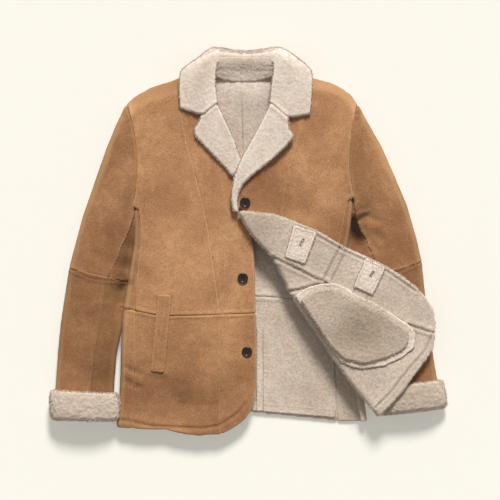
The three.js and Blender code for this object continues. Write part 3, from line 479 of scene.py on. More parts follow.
def suede_group():
    """Nap of the suede: large brushed patches, mottling and fine grain."""
    group, entry, leave = new_group(
        "Suede nap",
        [("NodeSocketVector", "Place", (0, 0, 0)), ("NodeSocketColor", "Colour", (*hide().suede, 1)),
         ("NodeSocketColor", "Shade", (*hide().suede_dark, 1)), ("NodeSocketFloat", "Grain", 1.0)],
        [("NodeSocketColor", "Colour"), ("NodeSocketFloat", "Height")],
    )
    link = group.links.new
    patches = noise_node(group, 9, 3, 0.55, 0.4)
    mottle = noise_node(group, 55, 4, 0.62, 0.2)
    grain = noise_node(group, 310, 3, 0.75)
    pores = group.nodes.new("ShaderNodeTexVoronoi")
    pores.inputs["Scale"].default_value = 430
    for node in (patches, mottle, grain, pores):
        link(entry.outputs["Place"], node.inputs["Vector"])
    brushed = mix_colour(group, ramp(group, patches.outputs["Fac"], 0.38, 0.66, 0.0, 0.66),
                         entry.outputs["Colour"], entry.outputs["Shade"])
    mottled = mix_colour(group, ramp(group, mottle.outputs["Fac"], 0.35, 0.70, 0.0, 0.42), brushed,
                         entry.outputs["Shade"])
    light = maths(group, "MULTIPLY_ADD", grain.outputs["Fac"], 1.5)
    light.node.inputs[2].default_value = 0.30
    grained = mix_colour(group, 1.0, mottled, light, "MULTIPLY")
    link(grained, leave.inputs["Colour"])
    pore = ramp(group, pores.outputs["Distance"], 0.0, 0.6, 0.0, 0.5)
    height = maths(group, "ADD", maths(group, "MULTIPLY", grain.outputs["Fac"], 0.7), pore)
    height = maths(group, "ADD", height, maths(group, "MULTIPLY", mottle.outputs["Fac"], 0.8))
    link(maths(group, "MULTIPLY", height, entry.outputs["Grain"]), leave.inputs["Height"])
    return group


def wool_group():
    """Pile of the wool: clumps with darker hollows between, partly the pile's own deeper colour and partly
    painted shade, and the fine crimp of the fibres.
    """
    group, entry, leave = new_group(
        "Wool pile",
        [("NodeSocketVector", "Place", (0, 0, 0)), ("NodeSocketColor", "Colour", (*wool().wool, 1)),
         ("NodeSocketColor", "Hollow", (*wool().wool_deep, 1)), ("NodeSocketFloat", "Clump", 210.0),
         ("NodeSocketFloat", "Depth", 0.62)],
        [("NodeSocketColor", "Colour"), ("NodeSocketFloat", "Height")],
    )
    link = group.links.new
    bend = noise_node(group, 120, 2)
    link(entry.outputs["Place"], bend.inputs["Vector"])
    shift = group.nodes.new("ShaderNodeVectorMath")
    shift.operation = "MULTIPLY_ADD"
    link(bend.outputs["Color"], shift.inputs[0])
    shift.inputs[1].default_value = (0.006, 0.006, 0.006)
    link(entry.outputs["Place"], shift.inputs[2])
    clumps = group.nodes.new("ShaderNodeTexVoronoi")
    clumps.feature = "SMOOTH_F1"
    clumps.inputs["Smoothness"].default_value = 0.6
    link(shift.outputs[0], clumps.inputs["Vector"])
    link(entry.outputs["Clump"], clumps.inputs["Scale"])
    crimp = noise_node(group, 640, 3, 0.7, 1.2)
    patches = noise_node(group, 16, 3, 0.6)
    tint = noise_node(group, 75, 2, 0.6)
    for node in (crimp, patches, tint):
        link(entry.outputs["Place"], node.inputs["Vector"])
    between = ramp(group, clumps.outputs["Distance"], 0.22, 0.85)
    hollow = maths(group, "MULTIPLY", between, entry.outputs["Depth"])
    base = mix_colour(group, hollow, entry.outputs["Colour"], entry.outputs["Hollow"])
    aged = mix_colour(group, ramp(group, patches.outputs["Fac"], 0.42, 0.74, 0.0, 0.38), base,
                      entry.outputs["Hollow"])
    tinted = mix_colour(group, ramp(group, tint.outputs["Fac"], 0.45, 0.8, 0.0, 0.35), aged,
                        entry.outputs["Hollow"])
    light = maths(group, "MULTIPLY_ADD", crimp.outputs["Fac"], 0.5)
    light.node.inputs[2].default_value = 0.76
    link(mix_colour(group, 1.0, tinted, light, "MULTIPLY"), leave.inputs["Colour"])
    height = maths(group, "SUBTRACT", maths(group, "MULTIPLY", crimp.outputs["Fac"], 0.9),
                   maths(group, "MULTIPLY", clumps.outputs["Distance"], 1.3))
    link(height, leave.inputs["Height"])
    return group


def bare_material(name, roughness, sheen=0.0):
    material = bpy.data.materials.new(name)
    material.use_nodes = True
    shader = material.node_tree.nodes["Principled BSDF"]
    shader.inputs["Roughness"].default_value = roughness
    shader.inputs["Specular IOR Level"].default_value = 0.25
    shader.inputs["Sheen Weight"].default_value = sheen
    shader.inputs["Sheen Roughness"].default_value = 0.5
    return material, material.node_tree, shader


def read_point(tree, name):
    node = tree.nodes.new("ShaderNodeAttribute")
    node.attribute_name = name
    return node.outputs["Fac"]


def shearling_material(name, clump=210.0, depth=0.62):
    """One hide: suede where the point attribute wool is 0 and wool where it is 1, darker down its seams, partly
    the seams' own colour and partly painted shade in their grooves.
    """
    material, tree, shader = bare_material(name, 0.92, 0.12)
    link = tree.links.new
    place = tree.nodes.new("ShaderNodeTexCoord").outputs["Object"]
    suede = tree.nodes.new("ShaderNodeGroup")
    suede.node_tree = bpy.data.node_groups["Suede nap"]
    pile = tree.nodes.new("ShaderNodeGroup")
    pile.node_tree = bpy.data.node_groups["Wool pile"]
    pile.inputs["Clump"].default_value = clump
    pile.inputs["Depth"].default_value = depth
    link(place, suede.inputs["Place"])
    link(place, pile.inputs["Place"])
    side = read_point(tree, "wool")
    seam = read_point(tree, "seam")
    worn = read_point(tree, "worn")
    tone = read_point(tree, "tone")
    rubbing = maths(tree, "MULTIPLY", worn, 0.45)
    rubbed = mix_colour(tree, rubbing, suede.outputs["Colour"], (0.72, 0.44, 0.22))
    # Darker down the seams: partly the seams' own colour and partly painted shade in their grooves
    leather = mix_colour(tree, maths(tree, "MULTIPLY", seam, 0.62), rubbed, (0.10, 0.042, 0.016))
    fleece = mix_colour(tree, maths(tree, "MULTIPLY", seam, 0.55), pile.outputs["Colour"], (0.20, 0.15, 0.10))
    colour = mix_colour(tree, side, leather, fleece)
    # The tone attribute multiplies the colour: the hide's own tone, with painted shade and light from the clouds
    # and a painted highlight on the wool's rims
    tone_and_shade_colour = tree.nodes.new("ShaderNodeCombineColor")
    for channel, power in zip(tone_and_shade_colour.inputs, (1.0, 1.12, 1.3)):
        link(maths(tree, "POWER", tone, power), channel)
    toned = mix_colour(tree, 1.0, colour, tone_and_shade_colour.outputs[0], "MULTIPLY")
    link(toned, shader.inputs["Base Color"])
    napped = maths(tree, "MULTIPLY", suede.outputs["Height"], maths(tree, "SUBTRACT", 1.0, side))
    woolly = maths(tree, "MULTIPLY", maths(tree, "MULTIPLY", pile.outputs["Height"], 1.1), side)
    height = maths(tree, "ADD", napped, woolly)
    bump = tree.nodes.new("ShaderNodeBump")
    bump.inputs["Distance"].default_value = 0.45 * MM
    bump.inputs["Strength"].default_value = 0.8
    link(height, bump.inputs["Height"])
    link(bump.outputs["Normal"], shader.inputs["Normal"])
    return material


def seam_relief(points, seams):
    """Height across the sewn lines, and how deep in a seam each point lies, 0 to 1, scaled by how dark the seam
    is painted: partly its own line and partly painted shade in its groove.
    """
    height = np.zeros(len(points))
    depth = np.zeros(len(points))
    for kind, line in seams:
        *sizes, dark = SEAM_PROFILES[kind]
        groove_deep, groove_half, ridge_high, ridge_half, ridge_at = (size * MM for size in sizes)
        away = line_distance(points, plan_line(line))
        groove = np.exp(-((away / groove_half) ** 2))
        ridge = np.exp(-(((away - ridge_at) / ridge_half) ** 2))
        height += ridge_high * ridge - groove_deep * groove
        shade = dark * np.exp(-((away / (1.3 * groove_half)) ** 2))
        depth = np.maximum(depth, shade)
    return height, depth


def crease_relief(points, creases):
    height = np.zeros(len(points))
    for start, end, half, high in creases:
        away = line_distance(points, plan_line((start, end)))
        height += high * MM * np.exp(-((away / (half * MM)) ** 2))
    return height


def cloud_shade(points, clouds):
    """How much darker and lighter the hide is painted at each place of the plan, around 1: painted shade and
    light, with some of the hide's own patches.
    """
    shade = np.ones(len(points))
    for x, y, radius, strength in clouds:
        away = np.linalg.norm(points[:, :2] - np.array(plan(x, y)[:2]), axis=1)
        shade += strength * np.exp(-((away / (radius * MM)) ** 2))
    return shade


def pile_noise(points, size):
    """Lumpy noise, about -1 to 1, with clumps of that size."""
    values = np.empty(len(points))
    for i, (x, y, z) in enumerate(points / size):
        values[i] = noise.noise((x, y, z)) + 0.55 * noise.noise((2.3 * x, 2.3 * y, 2.3 * z + 7))
    return values


def slow_noise(points, size, height):
    """Gentle unevenness that keeps large faces from lying dead flat."""
    values = np.empty(len(points))
    for i, (x, y, z) in enumerate(points / size):
        values[i] = noise.noise((x, y, 0.3 * z))
    return values * height


# Each piece of hide: width and length of its cut, its wall (all in millimetres), and its tone, partly the hide's
# own colour and partly painted shade, which makes the sleeves, the cuffs and the pocket bag's upper ply darker
CUTS = {
    "back_upper_right": (253, 535, 7, 0.94),
    "back_upper_left": (250, 516, 7, 0.94),
    "back_lower_right": (206, 257, 7, 0.93),
    "back_lower_left": (209, 275, 7, 0.93),
    "side_right_upper": (90, 222, 7, 0.8),
    "side_right_lower": (108, 256, 7, 0.88),
    "side_left_upper": (75, 220, 7, 0.84),
    "side_left_lower": (95, 264, 7, 0.9),
    "front_right_side_upper": (206, 520, 7, 0.96),
    "front_right_centre_upper": (170, 555, 7, 0.96),
    "front_right_side_lower": (195, 273, 7, 0.86),
    "front_right_centre_lower": (79, 263, 7, 0.9),
    "front_left_centre_upper": (167, 418, 7, 0.98),
    "front_left_side_upper": (174, 490, 7, 0.96),
    "front_left_side_lower": (110, 156, 7, 0.9),
    "pocket_welt_right": (31, 171, 3.5, 0.92),
    "sleeve_right_top_upper": (150, 380, 7, 0.72),
    "sleeve_right_under_upper": (125, 325, 7, 0.58),
    "sleeve_right_top_lower": (140, 318, 7, 0.58),
    "sleeve_right_under_lower": (145, 312, 7, 0.52),
    "sleeve_left_top_upper": (155, 380, 7, 0.72),
    "sleeve_left_under_upper": (125, 325, 7, 0.58),
    "sleeve_left_top_lower": (140, 316, 7, 0.62),
    "sleeve_left_under_lower": (145, 312, 7, 0.6),
    "back_vent_edge": (13, 184, 3, 1.0),
    "back_hem_right": (17, 230, 2.5, 0.97),
    "back_hem_left": (17, 161, 2.5, 0.97),
    "turned_centre_upper": (230, 165, 7, 0.84),
    "turned_side_upper": (113, 87, 7, 0.83),
    "turned_side_lower": (320, 300, 7, 0.87),
    "turned_centre_lower": (240, 150, 7, 0.89),
    "pocket_bag_under": (262, 150, 3.6, 1.02),
    "pocket_bag_upper": (232, 142, 7.5, 0.72),
    "buttonhole_tab_middle": (50, 70, 3.4, 1.1),
    "buttonhole_tab_bottom": (46, 66, 3.4, 1.1),
    "collar_leaf": (75, 540, 8.5, 0.98),
    "collar_stand": (132, 58, 7, 1.0),
    "lapel_right": (86, 172, 8.5, 0.97),
    "lapel_left": (90, 262, 8.5, 1.01),
    "cuff_right": (62, 345, 12, 0.81),
    "cuff_left": (62, 345, 12, 0.73),
}
# Sewn lines of the wool side
TURNED_SEAMS = (
    ("band", ((217, -16), (183, -86))),
    ("band", ((203, -10), (166, -83))),
    ("fleece", ((55, -33), (174, -90))),
    ("fleece", ((352, -180), (408, -199))),
    ("fleece", ((92, -108), (174, -90))),
    ("band", ((402, -203), (388, -236), (352, -276), (312, -328), (280, -360))),
    ("band", ((100, 30), (152, 14), (211, -19), (299, -60), (367, -107))),
)
BACK_SEAMS = (
    ("soft", ((-216, -150), (-12, -118), (186, -128))),
    ("soft", ((-14, 354), (-12, 300), (-9, 200), (-9, -118), (-9, -371))),
    ("band", ((191, -178), (198, -330))),
)
COLLAR_SEAMS = (
    ("band", ((-66, 301), (-97, 277))),
    ("band", ((53, 301), (89, 271))),
)
# The middle of each sleeve's tube: x, y and height
SLEEVE_MIDDLES = {
    "right": ((-257, 190, 17), (-278, 123, 18), (-308, 9, 18), (-326, -73, 18), (-341, -185, 18),
              (-349, -240, 18), (-354, -301, 22), (-354, -373, 27)),
    "left": ((238, 200, 17), (266, 137, 18), (305, 24, 18), (326, -59, 17), (332, -195, 16),
             (340, -243, 16), (350, -297, 19), (360, -355, 22)),
}
TUBE_HEIGHT = 17
SHOULDER_LINES = (
    ((-264, 301), (-249, 317), (-213, 337), (-152, 357), (-80, 394)),
    ((242, 301), (235, 317), (216, 332), (191, 347), (136, 361), (72, 394)),
)
FOLD_LINE = ((-18, 62), (13, 11), (55, -33), (74, -70), (92, -108), (112, -142), (138, -181), (165, -221),
             (196, -265), (233, -317), (255, -343), (286, -379))
FOLD_RADIUS = 10
# The way from the fold into the turned-back front
ACROSS_FOLD = (0.81, 0.59)
# The front's highest point is looked up cell by cell: size of a cell in metres, and the step between the keys of
# two columns
FOLD_CELL = 0.03
CELLS_APART = 1000
# How far a side panel's bend reaches in from its inner edge, in metres
SIDE_BEND = 0.022
# How far the edges of a piece swell to meet the next one at a seam
SEAM_CLOSE = 1.8
# Heights between which the dents of a sleeve begin to move its wall
DENT_HEIGHTS = (12, 19)
# The least share of its width times its length that a cut may have
LEAST_CUT = 0.301
SQUARE_MM = 1e-6


def outward_from(points, normals, centres):
    """1 where the surface looks away from its centre and 0 where it looks at it."""
    facing = np.einsum("ij,ij->i", normals, points - centres)
    reach = np.linalg.norm(points - centres, axis=1)
    return smoothstep(facing / np.maximum(reach, 1e-6), -0.12, 0.12)


def wool_below(points, normals):
    """Fronts: suede up, wool towards the body."""
    return 1 - smoothstep(normals[:, 2], -0.25, 0.30)


def wool_above(points, normals):
    """Back: the hide lies suede down, and its rim is suede along the shoulder seams."""
    shoulder = np.minimum(*(line_distance(points[:, :2], plan_line(line)) for line in SHOULDER_LINES))
    at_seam = 1 - smoothstep(shoulder, 7 * MM, 14 * MM)
    return smoothstep(normals[:, 2] - 0.9 * at_seam, -0.5, 0.0)


def wool_mostly(points, normals):
    """Collar and lapels: only their underside is suede."""
    return smoothstep(normals[:, 2], -0.75, -0.35)


def wool_all(points, normals):
    return np.ones(len(points))


def suede_all(points, normals):
    return np.zeros(len(points))


def seam_distance(points, seams):
    """Distance of each point from the nearest seam, in plan."""
    away = np.full(len(points), np.inf)
    for _, line in seams:
        away = np.minimum(away, line_distance(points[:, :2], plan_line(line)))
    return away


def wool_in_tube(side):
    """A sleeve: wool inside, suede outside, told by height where the wall lies flat."""
    middles = np.array([tuple(plan(*row)) for row in SLEEVE_MIDDLES[side]])
    order = np.argsort(middles[:, 1])

    def share(points, normals):
        centres = points.copy()
        for axis in (0, 2):
            centres[:, axis] = np.interp(points[:, 1], middles[order, 1], middles[order, axis])
        round_the_side = 1 - outward_from(points, normals, centres)
        above = points[:, 2] > centres[:, 2] - 5 * MM
        lying = np.where(normals[:, 2] > 0, ~above, above).astype(float)
        flat = smoothstep(np.abs(normals[:, 2]), 0.1, 0.35)
        return round_the_side + (lying - round_the_side) * flat
    return share


def wool_in_bend(points, normals):
    """A side panel, bent round the coat's edge: its inner face is the one towards the middle."""
    inner = points[:, 0].max() if points[:, 0].mean() < 0 else points[:, 0].min()
    centres = points.copy()
    beyond = inner + SIDE_BEND * np.sign(inner)
    centres[:, 0] = np.where(np.abs(points[:, 0] - inner) < SIDE_BEND, points[:, 0], beyond)
    centres[:, 2] = TUBE_HEIGHT * MM
    return 1 - outward_from(points, normals, centres)


def wool_up_in_bend(points, normals):
    """The side panel below the turned-back front: it lies open, so that all that faces up is wool."""
    return np.maximum(wool_in_bend(points, normals), smoothstep(normals[:, 2], -0.35, 0.0))


def wool_round_fold(points, normals):
    """The turned-back front: wool up, and round the outside of the fold."""
    line = plan_line(FOLD_LINE)
    away = line_distance(points[:, :2], line)
    across = np.array(ACROSS_FOLD)
    centres = points.copy()
    centres[:, :2] += across * np.maximum(0, FOLD_RADIUS * MM - away)[:, None]
    cell = np.floor(points[:, :2] / FOLD_CELL).astype(int)
    keys = cell[:, 0] * CELLS_APART + cell[:, 1]
    order = np.argsort(keys)
    starts = np.r_[0, np.flatnonzero(np.diff(keys[order])) + 1]
    highest = np.maximum.reduceat(points[order, 2], starts)
    top = np.empty(len(points))
    top[order] = np.repeat(highest, np.diff(np.r_[starts, len(points)]))
    centres[:, 2] = top - FOLD_RADIUS * MM
    return outward_from(points, normals, centres)


def weight_group(obj, name, weights):
    """Stores one weight for each point, for a modifier to read."""
    group = obj.vertex_groups.new(name=name)
    for index, weight in enumerate(weights):
        group.add([index], float(weight), "REPLACE")
    return group.name


def soften(obj, rounding, seams, bent):
    """Rounds the cut edges, less where a seam joins them, and evens out the shoulders and bent panels."""
    away = seam_distance(coordinates(obj.data), seams)
    edges = weight_group(obj, "edges", smoothstep(away, 7 * MM, 16 * MM))
    apply_modifier(obj, "SMOOTH", factor=0.5, iterations=3)
    apply_modifier(obj, "SMOOTH", factor=0.5, iterations=rounding, vertex_group=edges)
    normals = point_normals(obj.data)
    points = coordinates(obj.data)
    shoulder = np.minimum(*(line_distance(points[:, :2], plan_line(line)) for line in SHOULDER_LINES))
    level = smoothstep(normals[:, 2], 0.6, 0.9) * (1 - smoothstep(shoulder, 60 * MM, 80 * MM))
    if bent:
        level = smoothstep(normals[:, 2], 0.0, 0.3)
    if level.max() > 0:
        roll = weight_group(obj, "roll", level)
        apply_modifier(obj, "SMOOTH", factor=0.5, iterations=70, vertex_group=roll, use_x=False, use_y=False)
    obj.vertex_groups.clear()


def sew(node, name, wool_side, seams=(), creases=(), slot="suede_hide", material="Shearling",
        step=None, rounding=None, held="laid", pile=1.0, unevenness=1.0, close=SEAM_CLOSE,
        shift=None, painted_rim_light=0.06, growth=1.0):
    """Makes one cut piece of hide in the place of its solid.

    painted_rim_light is how much lighter its wool's rim is painted, a painted highlight where its fuzz meets the
    light, and below 0 a painted shade; and growth how much larger its cut is than its solid's.
    """
    width, length, wall, tone = CUTS[node]
    solid = solid_copy(node, name)
    volume = bmesh.new()
    volume.from_mesh(solid.data)
    area = growth * volume.calc_volume() / (wall * MM)
    volume.free()
    step = step or hide().mesh_step
    apply_modifier(solid, "REMESH", mode="VOXEL", voxel_size=step, adaptivity=0.0)
    soften(solid, hide().rounding if rounding is None else rounding, seams, wool_side is wool_in_bend)
    mesh = solid.data
    points = coordinates(mesh)
    normals = point_normals(mesh)
    share = wool_side(points, normals)
    at_seam = 1 - smoothstep(seam_distance(points, seams), 4 * MM, 8 * MM)
    sewn = at_seam * smoothstep(normals[:, 2], -0.6, -0.3)
    share += ((1.0 if slot == "wool_pile" or wool_side is wool_above else 0.0) - share) * sewn
    up = smoothstep(normals[:, 2], 0.15, 0.65)
    relief, depth = seam_relief(points[:, :2], seams)
    relief += crease_relief(points[:, :2], creases)
    swell = slow_noise(points, 0.11, 1.9 * MM * unevenness)
    relief += swell + slow_noise(points, 0.043, 0.7 * MM * unevenness)
    edge = np.sqrt(np.clip(1 - normals[:, 2] ** 2, 0, 1))
    clumps = pile_noise(points, 5.2 * MM) * wool().clump_height * pile * share * (1 - 0.5 * depth)
    moved = points + normals * (relief * up + clumps + close * MM * edge)[:, None]
    high = smoothstep(points[:, 2], DENT_HEIGHTS[0] * MM, DENT_HEIGHTS[1] * MM)
    if shift:
        moved += shift(points)
    if held == "folded":
        moved[:, 2] += high * crease_relief(moved[:, :2], HOLLOWS)
    moved[:, 2] = np.maximum(moved[:, 2], 0.0)
    place_points(mesh, moved)
    paint(mesh, "wool", share)
    # seam: how dark the seams are painted, partly their own line and partly painted shade in their grooves
    paint(mesh, "seam", depth * up)
    rim = smoothstep(normals[:, 2], 0.35, 0.6) * (1 - smoothstep(normals[:, 2], 0.85, 0.97))
    paint(mesh, "worn", rim * (1 - share))
    # Painted shade and light: the piece's tone times the clouds, partly the hide's own colour and partly painted
    # shade and light, and painted_rim_light paints a highlight on the wool's rim
    clouds = SUEDE_SHADE_AND_TONE_CLOUDS + (ARMPIT_CLOUDS if "sleeve" in node and "under" in node else ())
    shade = share * cloud_shade(moved, WOOL_SHADE_AND_TONE_CLOUDS) + (1 - share) * cloud_shade(moved, clouds)
    paint(mesh, "tone", np.maximum(tone * shade, 0.05) * (1 + painted_rim_light * share * edge))
    area = min(max(area, LEAST_CUT * width * length * SQUARE_MM), width * length * SQUARE_MM)
    finish_piece(solid, node, bpy.data.materials[material])
    return solid


def make_materials():
    suede_group()
    wool_group()
    shearling_material("Shearling")
    shearling_material("Long wool", clump=180.0, depth=0.42)


# Where the under sleeve is pushed up against the body: the sleeve's inner edge, and by how much at which y
ARMPITS = {
    "right": (((-250, 78), (-264, -87), (-283, -388)), ((-150, 0), (-60, 6), (60, 6), (95, 0))),
    "left": (((234, 99), (240, 30), (246, -45), (257, -128)),
             ((-150, 0), (-90, 16), (-20, 24), (30, 15), (90, 2))),
}
ARMPIT_REACH = 45
# The collar stand's lower edge sinks and its upper edge comes up by this much, between these two rows
STAND_SINK = 12
STAND_LIFT = 15
STAND_ROWS = (352, 372)
# It runs on under the leaf at both ends, by a share of its width, and over the back's neckline
STAND_SPREAD = 0.08
STAND_TUCK = 5


def pushed_to_body(side):
    """Moves the inner edge of a sleeve towards the body."""
    edge, table = ARMPITS[side]
    rows = [plan(0, y).y for y, _ in table]
    pushes = [push * MM * (1 if side == "right" else -1) for _, push in table]

    def shift(points):
        near = 1 - smoothstep(line_distance(points[:, :2], plan_line(edge)), 0, ARMPIT_REACH * MM)
        across = np.interp(points[:, 1], rows, pushes) * near
        return np.column_stack((across, np.zeros((len(points), 2))))
    return shift


def stand_lifted(points):
    """Raises the collar stand's upper edge to the leaf over it, and lays its lower edge on the back."""
    low, top = (plan(0, y).y for y in STAND_ROWS)
    lift = (STAND_SINK + (STAND_LIFT - STAND_SINK) * smoothstep(points[:, 1], low, top)) * MM
    lift *= smoothstep(points[:, 2], 6 * MM, 12 * MM)
    across = STAND_SPREAD * (points[:, 0] - points[:, 0].mean())
    down = -STAND_TUCK * MM * (1 - smoothstep(points[:, 1], low, top))
    return np.column_stack((across, down, lift))


class COAT_OT_materials(bpy.types.Operator):
    """Makes the suede and wool finishes"""

    bl_idname = "coat.materials"
    bl_label = "Finishes"

    def execute(self, context):
        make_materials()
        return {"FINISHED"}


class COAT_OT_back(bpy.types.Operator):
    """Lays the four back pieces, wool up"""

    bl_idname = "coat.back"
    bl_label = "Back"

    def execute(self, context):
        for node in BACK:
            sew(node, f"hide_{node}", wool_above, seams=BACK_SEAMS, creases=BACK_SWELLS, step=3.4 * MM,
                pile=0.7)
        for node in WOOL_TRIMS:
            sew(node, f"wool_{node}", wool_all, slot="wool_pile", step=1.3 * MM, rounding=4,
                pile=0.6, painted_rim_light=-0.3)
        return {"FINISHED"}


class COAT_OT_sides(bpy.types.Operator):
    """Bends the side panels round the coat's edges"""

    bl_idname = "coat.sides"
    bl_label = "Side panels"

    def execute(self, context):
        for node in SIDES:
            wool_side = wool_up_in_bend if node == "side_left_lower" else wool_in_bend
            sew(node, f"hide_{node}", wool_side, seams=SEAMS, creases=CREASES, held="folded", pile=0.7, close=2.2)
        return {"FINISHED"}


class COAT_OT_fronts(bpy.types.Operator):
    """Lays the fronts over the back, suede up"""

    bl_idname = "coat.fronts"
    bl_label = "Fronts"

    def execute(self, context):
        for node in RIGHT_FRONT + LEFT_FRONT:
            sew(node, f"hide_{node}", wool_below, seams=SEAMS, creases=CREASES,
                pile=0.7)
        return {"FINISHED"}


class COAT_OT_sleeves(bpy.types.Operator):
    """Sews the top and under sleeves and sets them in"""

    bl_idname = "coat.sleeves"
    bl_label = "Sleeves"

    def execute(self, context):
        for node in SLEEVES:
            side = "right" if "right" in node else "left"
            sew(node, f"hide_{node}", wool_in_tube(side), seams=SEAMS + SLEEVE_SEAMS, creases=SLEEVE_CREASES,
                held="folded", pile=0.7, close=2.8, shift=pushed_to_body(side))
        for side in ("right", "left"):
            sew(f"cuff_{side}", f"wool_cuff_{side}", wool_all, slot="wool_pile", material="Long wool",
                step=2.2 * MM, rounding=3, held="folded", pile=2.1, painted_rim_light=0.12)
        return {"FINISHED"}


class COAT_OT_turned_front(bpy.types.Operator):
    """Turns the lower left front back over its fold, wool up"""

    bl_idname = "coat.turned_front"
    bl_label = "Turned-back front"

    def execute(self, context):
        for node in TURNED:
            sew(node, f"hide_{node}", wool_round_fold, seams=TURNED_SEAMS, slot="wool_pile",
                step=wool().mesh_step, rounding=4, held="folded",
                unevenness=1.6)
        return {"FINISHED"}


class COAT_OT_pocket(bpy.types.Operator):
    """Sews the welt on the right front, and the pocket bag inside the turned-back left front"""

    bl_idname = "coat.pocket"
    bl_label = "Pockets"

    def execute(self, context):
        sew("pocket_welt_right", "hide_pocket_welt_right", suede_all, step=1.5 * MM, rounding=6,
            unevenness=0.4)
        for node in ("pocket_bag_under", "pocket_bag_upper"):
            sew(node, f"wool_{node}", wool_all, slot="wool_pile", step=1.9 * MM, rounding=4,
                unevenness=1.8, painted_rim_light=0.14)
        return {"FINISHED"}


class COAT_OT_tabs(bpy.types.Operator):
    """Sews the buttonhole patches on the turned-back front"""

    bl_idname = "coat.tabs"
    bl_label = "Buttonhole patches"

    def execute(self, context):
        for node in TABS:
            sew(node, f"wool_{node}", wool_all, slot="wool_pile", step=1.3 * MM, rounding=3,
                pile=0.9)
        return {"FINISHED"}


class COAT_OT_collar(bpy.types.Operator):
    """Lays the collar and lapels round the neck"""

    bl_idname = "coat.collar"
    bl_label = "Collar and lapels"

    def execute(self, context):
        for node in ("collar_leaf", "lapel_right", "lapel_left"):
            sew(node, f"wool_{node}", wool_mostly, seams=COLLAR_SEAMS, slot="wool_pile", material="Long wool",
                step=2.2 * MM, rounding=3, pile=0.8,
                unevenness=1.2, painted_rim_light=0.2)
        sew("collar_stand", "wool_collar_stand", wool_all, slot="wool_pile", step=wool().mesh_step,
            rounding=4, shift=stand_lifted, growth=1.12)
        return {"FINISHED"}


# The right front's free edge, where its wool shows past the suede, and how near to it wool counts as the edge's
FRONT_EDGE = ((5, 60), (12, 0), (16, -57), (18, -156), (20, -220), (20, -301), (16, -339))
EDGE_REACH = 7
# A lock droops towards its tip by this share, and its root lies this far under the wool, in millimetres
LOCK_DROOP = 0.45
LOCK_ROOT = 0.4


def wool_faces(source):
    """Corner places, normals and areas of a piece's triangles that show wool."""
    mesh = source.data
    mesh.calc_loop_triangles()
    corners = np.empty(len(mesh.loop_triangles) * 3, dtype=np.int32)
    mesh.loop_triangles.foreach_get("vertices", corners)
    corners = corners.reshape(-1, 3)
    shares = np.empty(len(mesh.vertices), dtype=np.float32)
    mesh.attributes["wool"].data.foreach_get("value", shares)
    triangles = coordinates(mesh)[corners]
    cross = np.cross(triangles[:, 1] - triangles[:, 0], triangles[:, 2] - triangles[:, 0])
    doubled = np.linalg.norm(cross, axis=1)
    shown = (shares[corners].mean(axis=1) > 0.6) & (cross[:, 2] > -0.35 * doubled) & (doubled > 0)
    return triangles[shown], (cross / np.maximum(doubled, 1e-12)[:, None])[shown], doubled[shown] / 2


def wool_locks(name, sources, per_area, length, thick, lean, near=None):
    """Small curved locks, rooted in the rims of the source pieces' wool, or near one line of them."""
    random_numbers = np.random.default_rng(wool().seed + len(name))
    parts = [wool_faces(bpy.data.objects[source]) for source in sources]
    triangles, normals, areas = (np.concatenate([part[k] for part in parts]) for k in range(3))
    weights = areas * per_area * (1 - smoothstep(normals[:, 2], 0.2, 0.62))
    if near:
        weights *= line_distance(triangles[:, 0, :2], plan_line(near)) < EDGE_REACH * MM
    count = int(weights.sum())
    chosen = random_numbers.choice(len(areas), size=count, p=weights / weights.sum())
    u, v = random_numbers.random((2, count, 1))
    over = (u + v) > 1
    u, v = np.where(over, 1 - u, u), np.where(over, 1 - v, v)
    a, b, c = (triangles[chosen, k] for k in range(3))
    root = a + u * (b - a) + v * (c - a)
    out = normals[chosen]
    wander = random_numbers.normal(size=(count, 3))
    flat = wander - out * np.einsum("ij,ij->i", wander, out)[:, None]
    flat /= np.maximum(np.linalg.norm(flat, axis=1), 1e-9)[:, None]
    side = np.cross(out, flat)
    long = length * random_numbers.uniform(0.6, 1.25, (count, 1))
    wide = thick * random_numbers.uniform(0.7, 1.2, (count, 1))
    curl = random_numbers.uniform(-0.5, 0.5, (count, 1))

    def bend(t):
        rise = out * (long * t * (1 - LOCK_DROOP * t) - LOCK_ROOT * MM)
        return root + rise + flat * long * lean * t * t + side * long * curl * t * t

    rows = []
    for t, share in ((0.0, 1.0), (0.55, 0.85)):
        for turn in range(3):
            angle = math.tau * turn / 3
            around = side * math.cos(angle) + (out * (t * lean) - flat) * math.sin(angle)
            rows.append(bend(t) + around * wide * share)
    rows.append(bend(1.0))
    points = np.stack(rows, axis=1).reshape(-1, 3)
    points[:, 2] = np.maximum(points[:, 2], 0.2 * MM)
    pattern = ((0, 2, 1), (0, 1, 4, 3), (1, 2, 5, 4), (2, 0, 3, 5), (3, 4, 6), (4, 5, 6), (5, 3, 6))
    faces = [tuple(7 * lock + corner for corner in face) for lock in range(count) for face in pattern]
    mesh = bpy.data.meshes.new(name)
    mesh.from_pydata(points.tolist(), [], faces)
    tones = np.repeat(random_numbers.uniform(0.90, 1.14, count), 7)
    for attribute, values in (("wool", np.ones(len(points))), ("seam", np.zeros(len(points))),
                              ("worn", np.zeros(len(points))), ("tone", tones)):
        paint(mesh, attribute, values)
    mesh.polygons.foreach_set("use_smooth", [True] * len(mesh.polygons))
    mesh.materials.append(bpy.data.materials["Long wool"])
    obj = bpy.data.objects.new(name, mesh)
    bpy.context.scene.collection.objects.link(obj)
    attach(obj, "root")


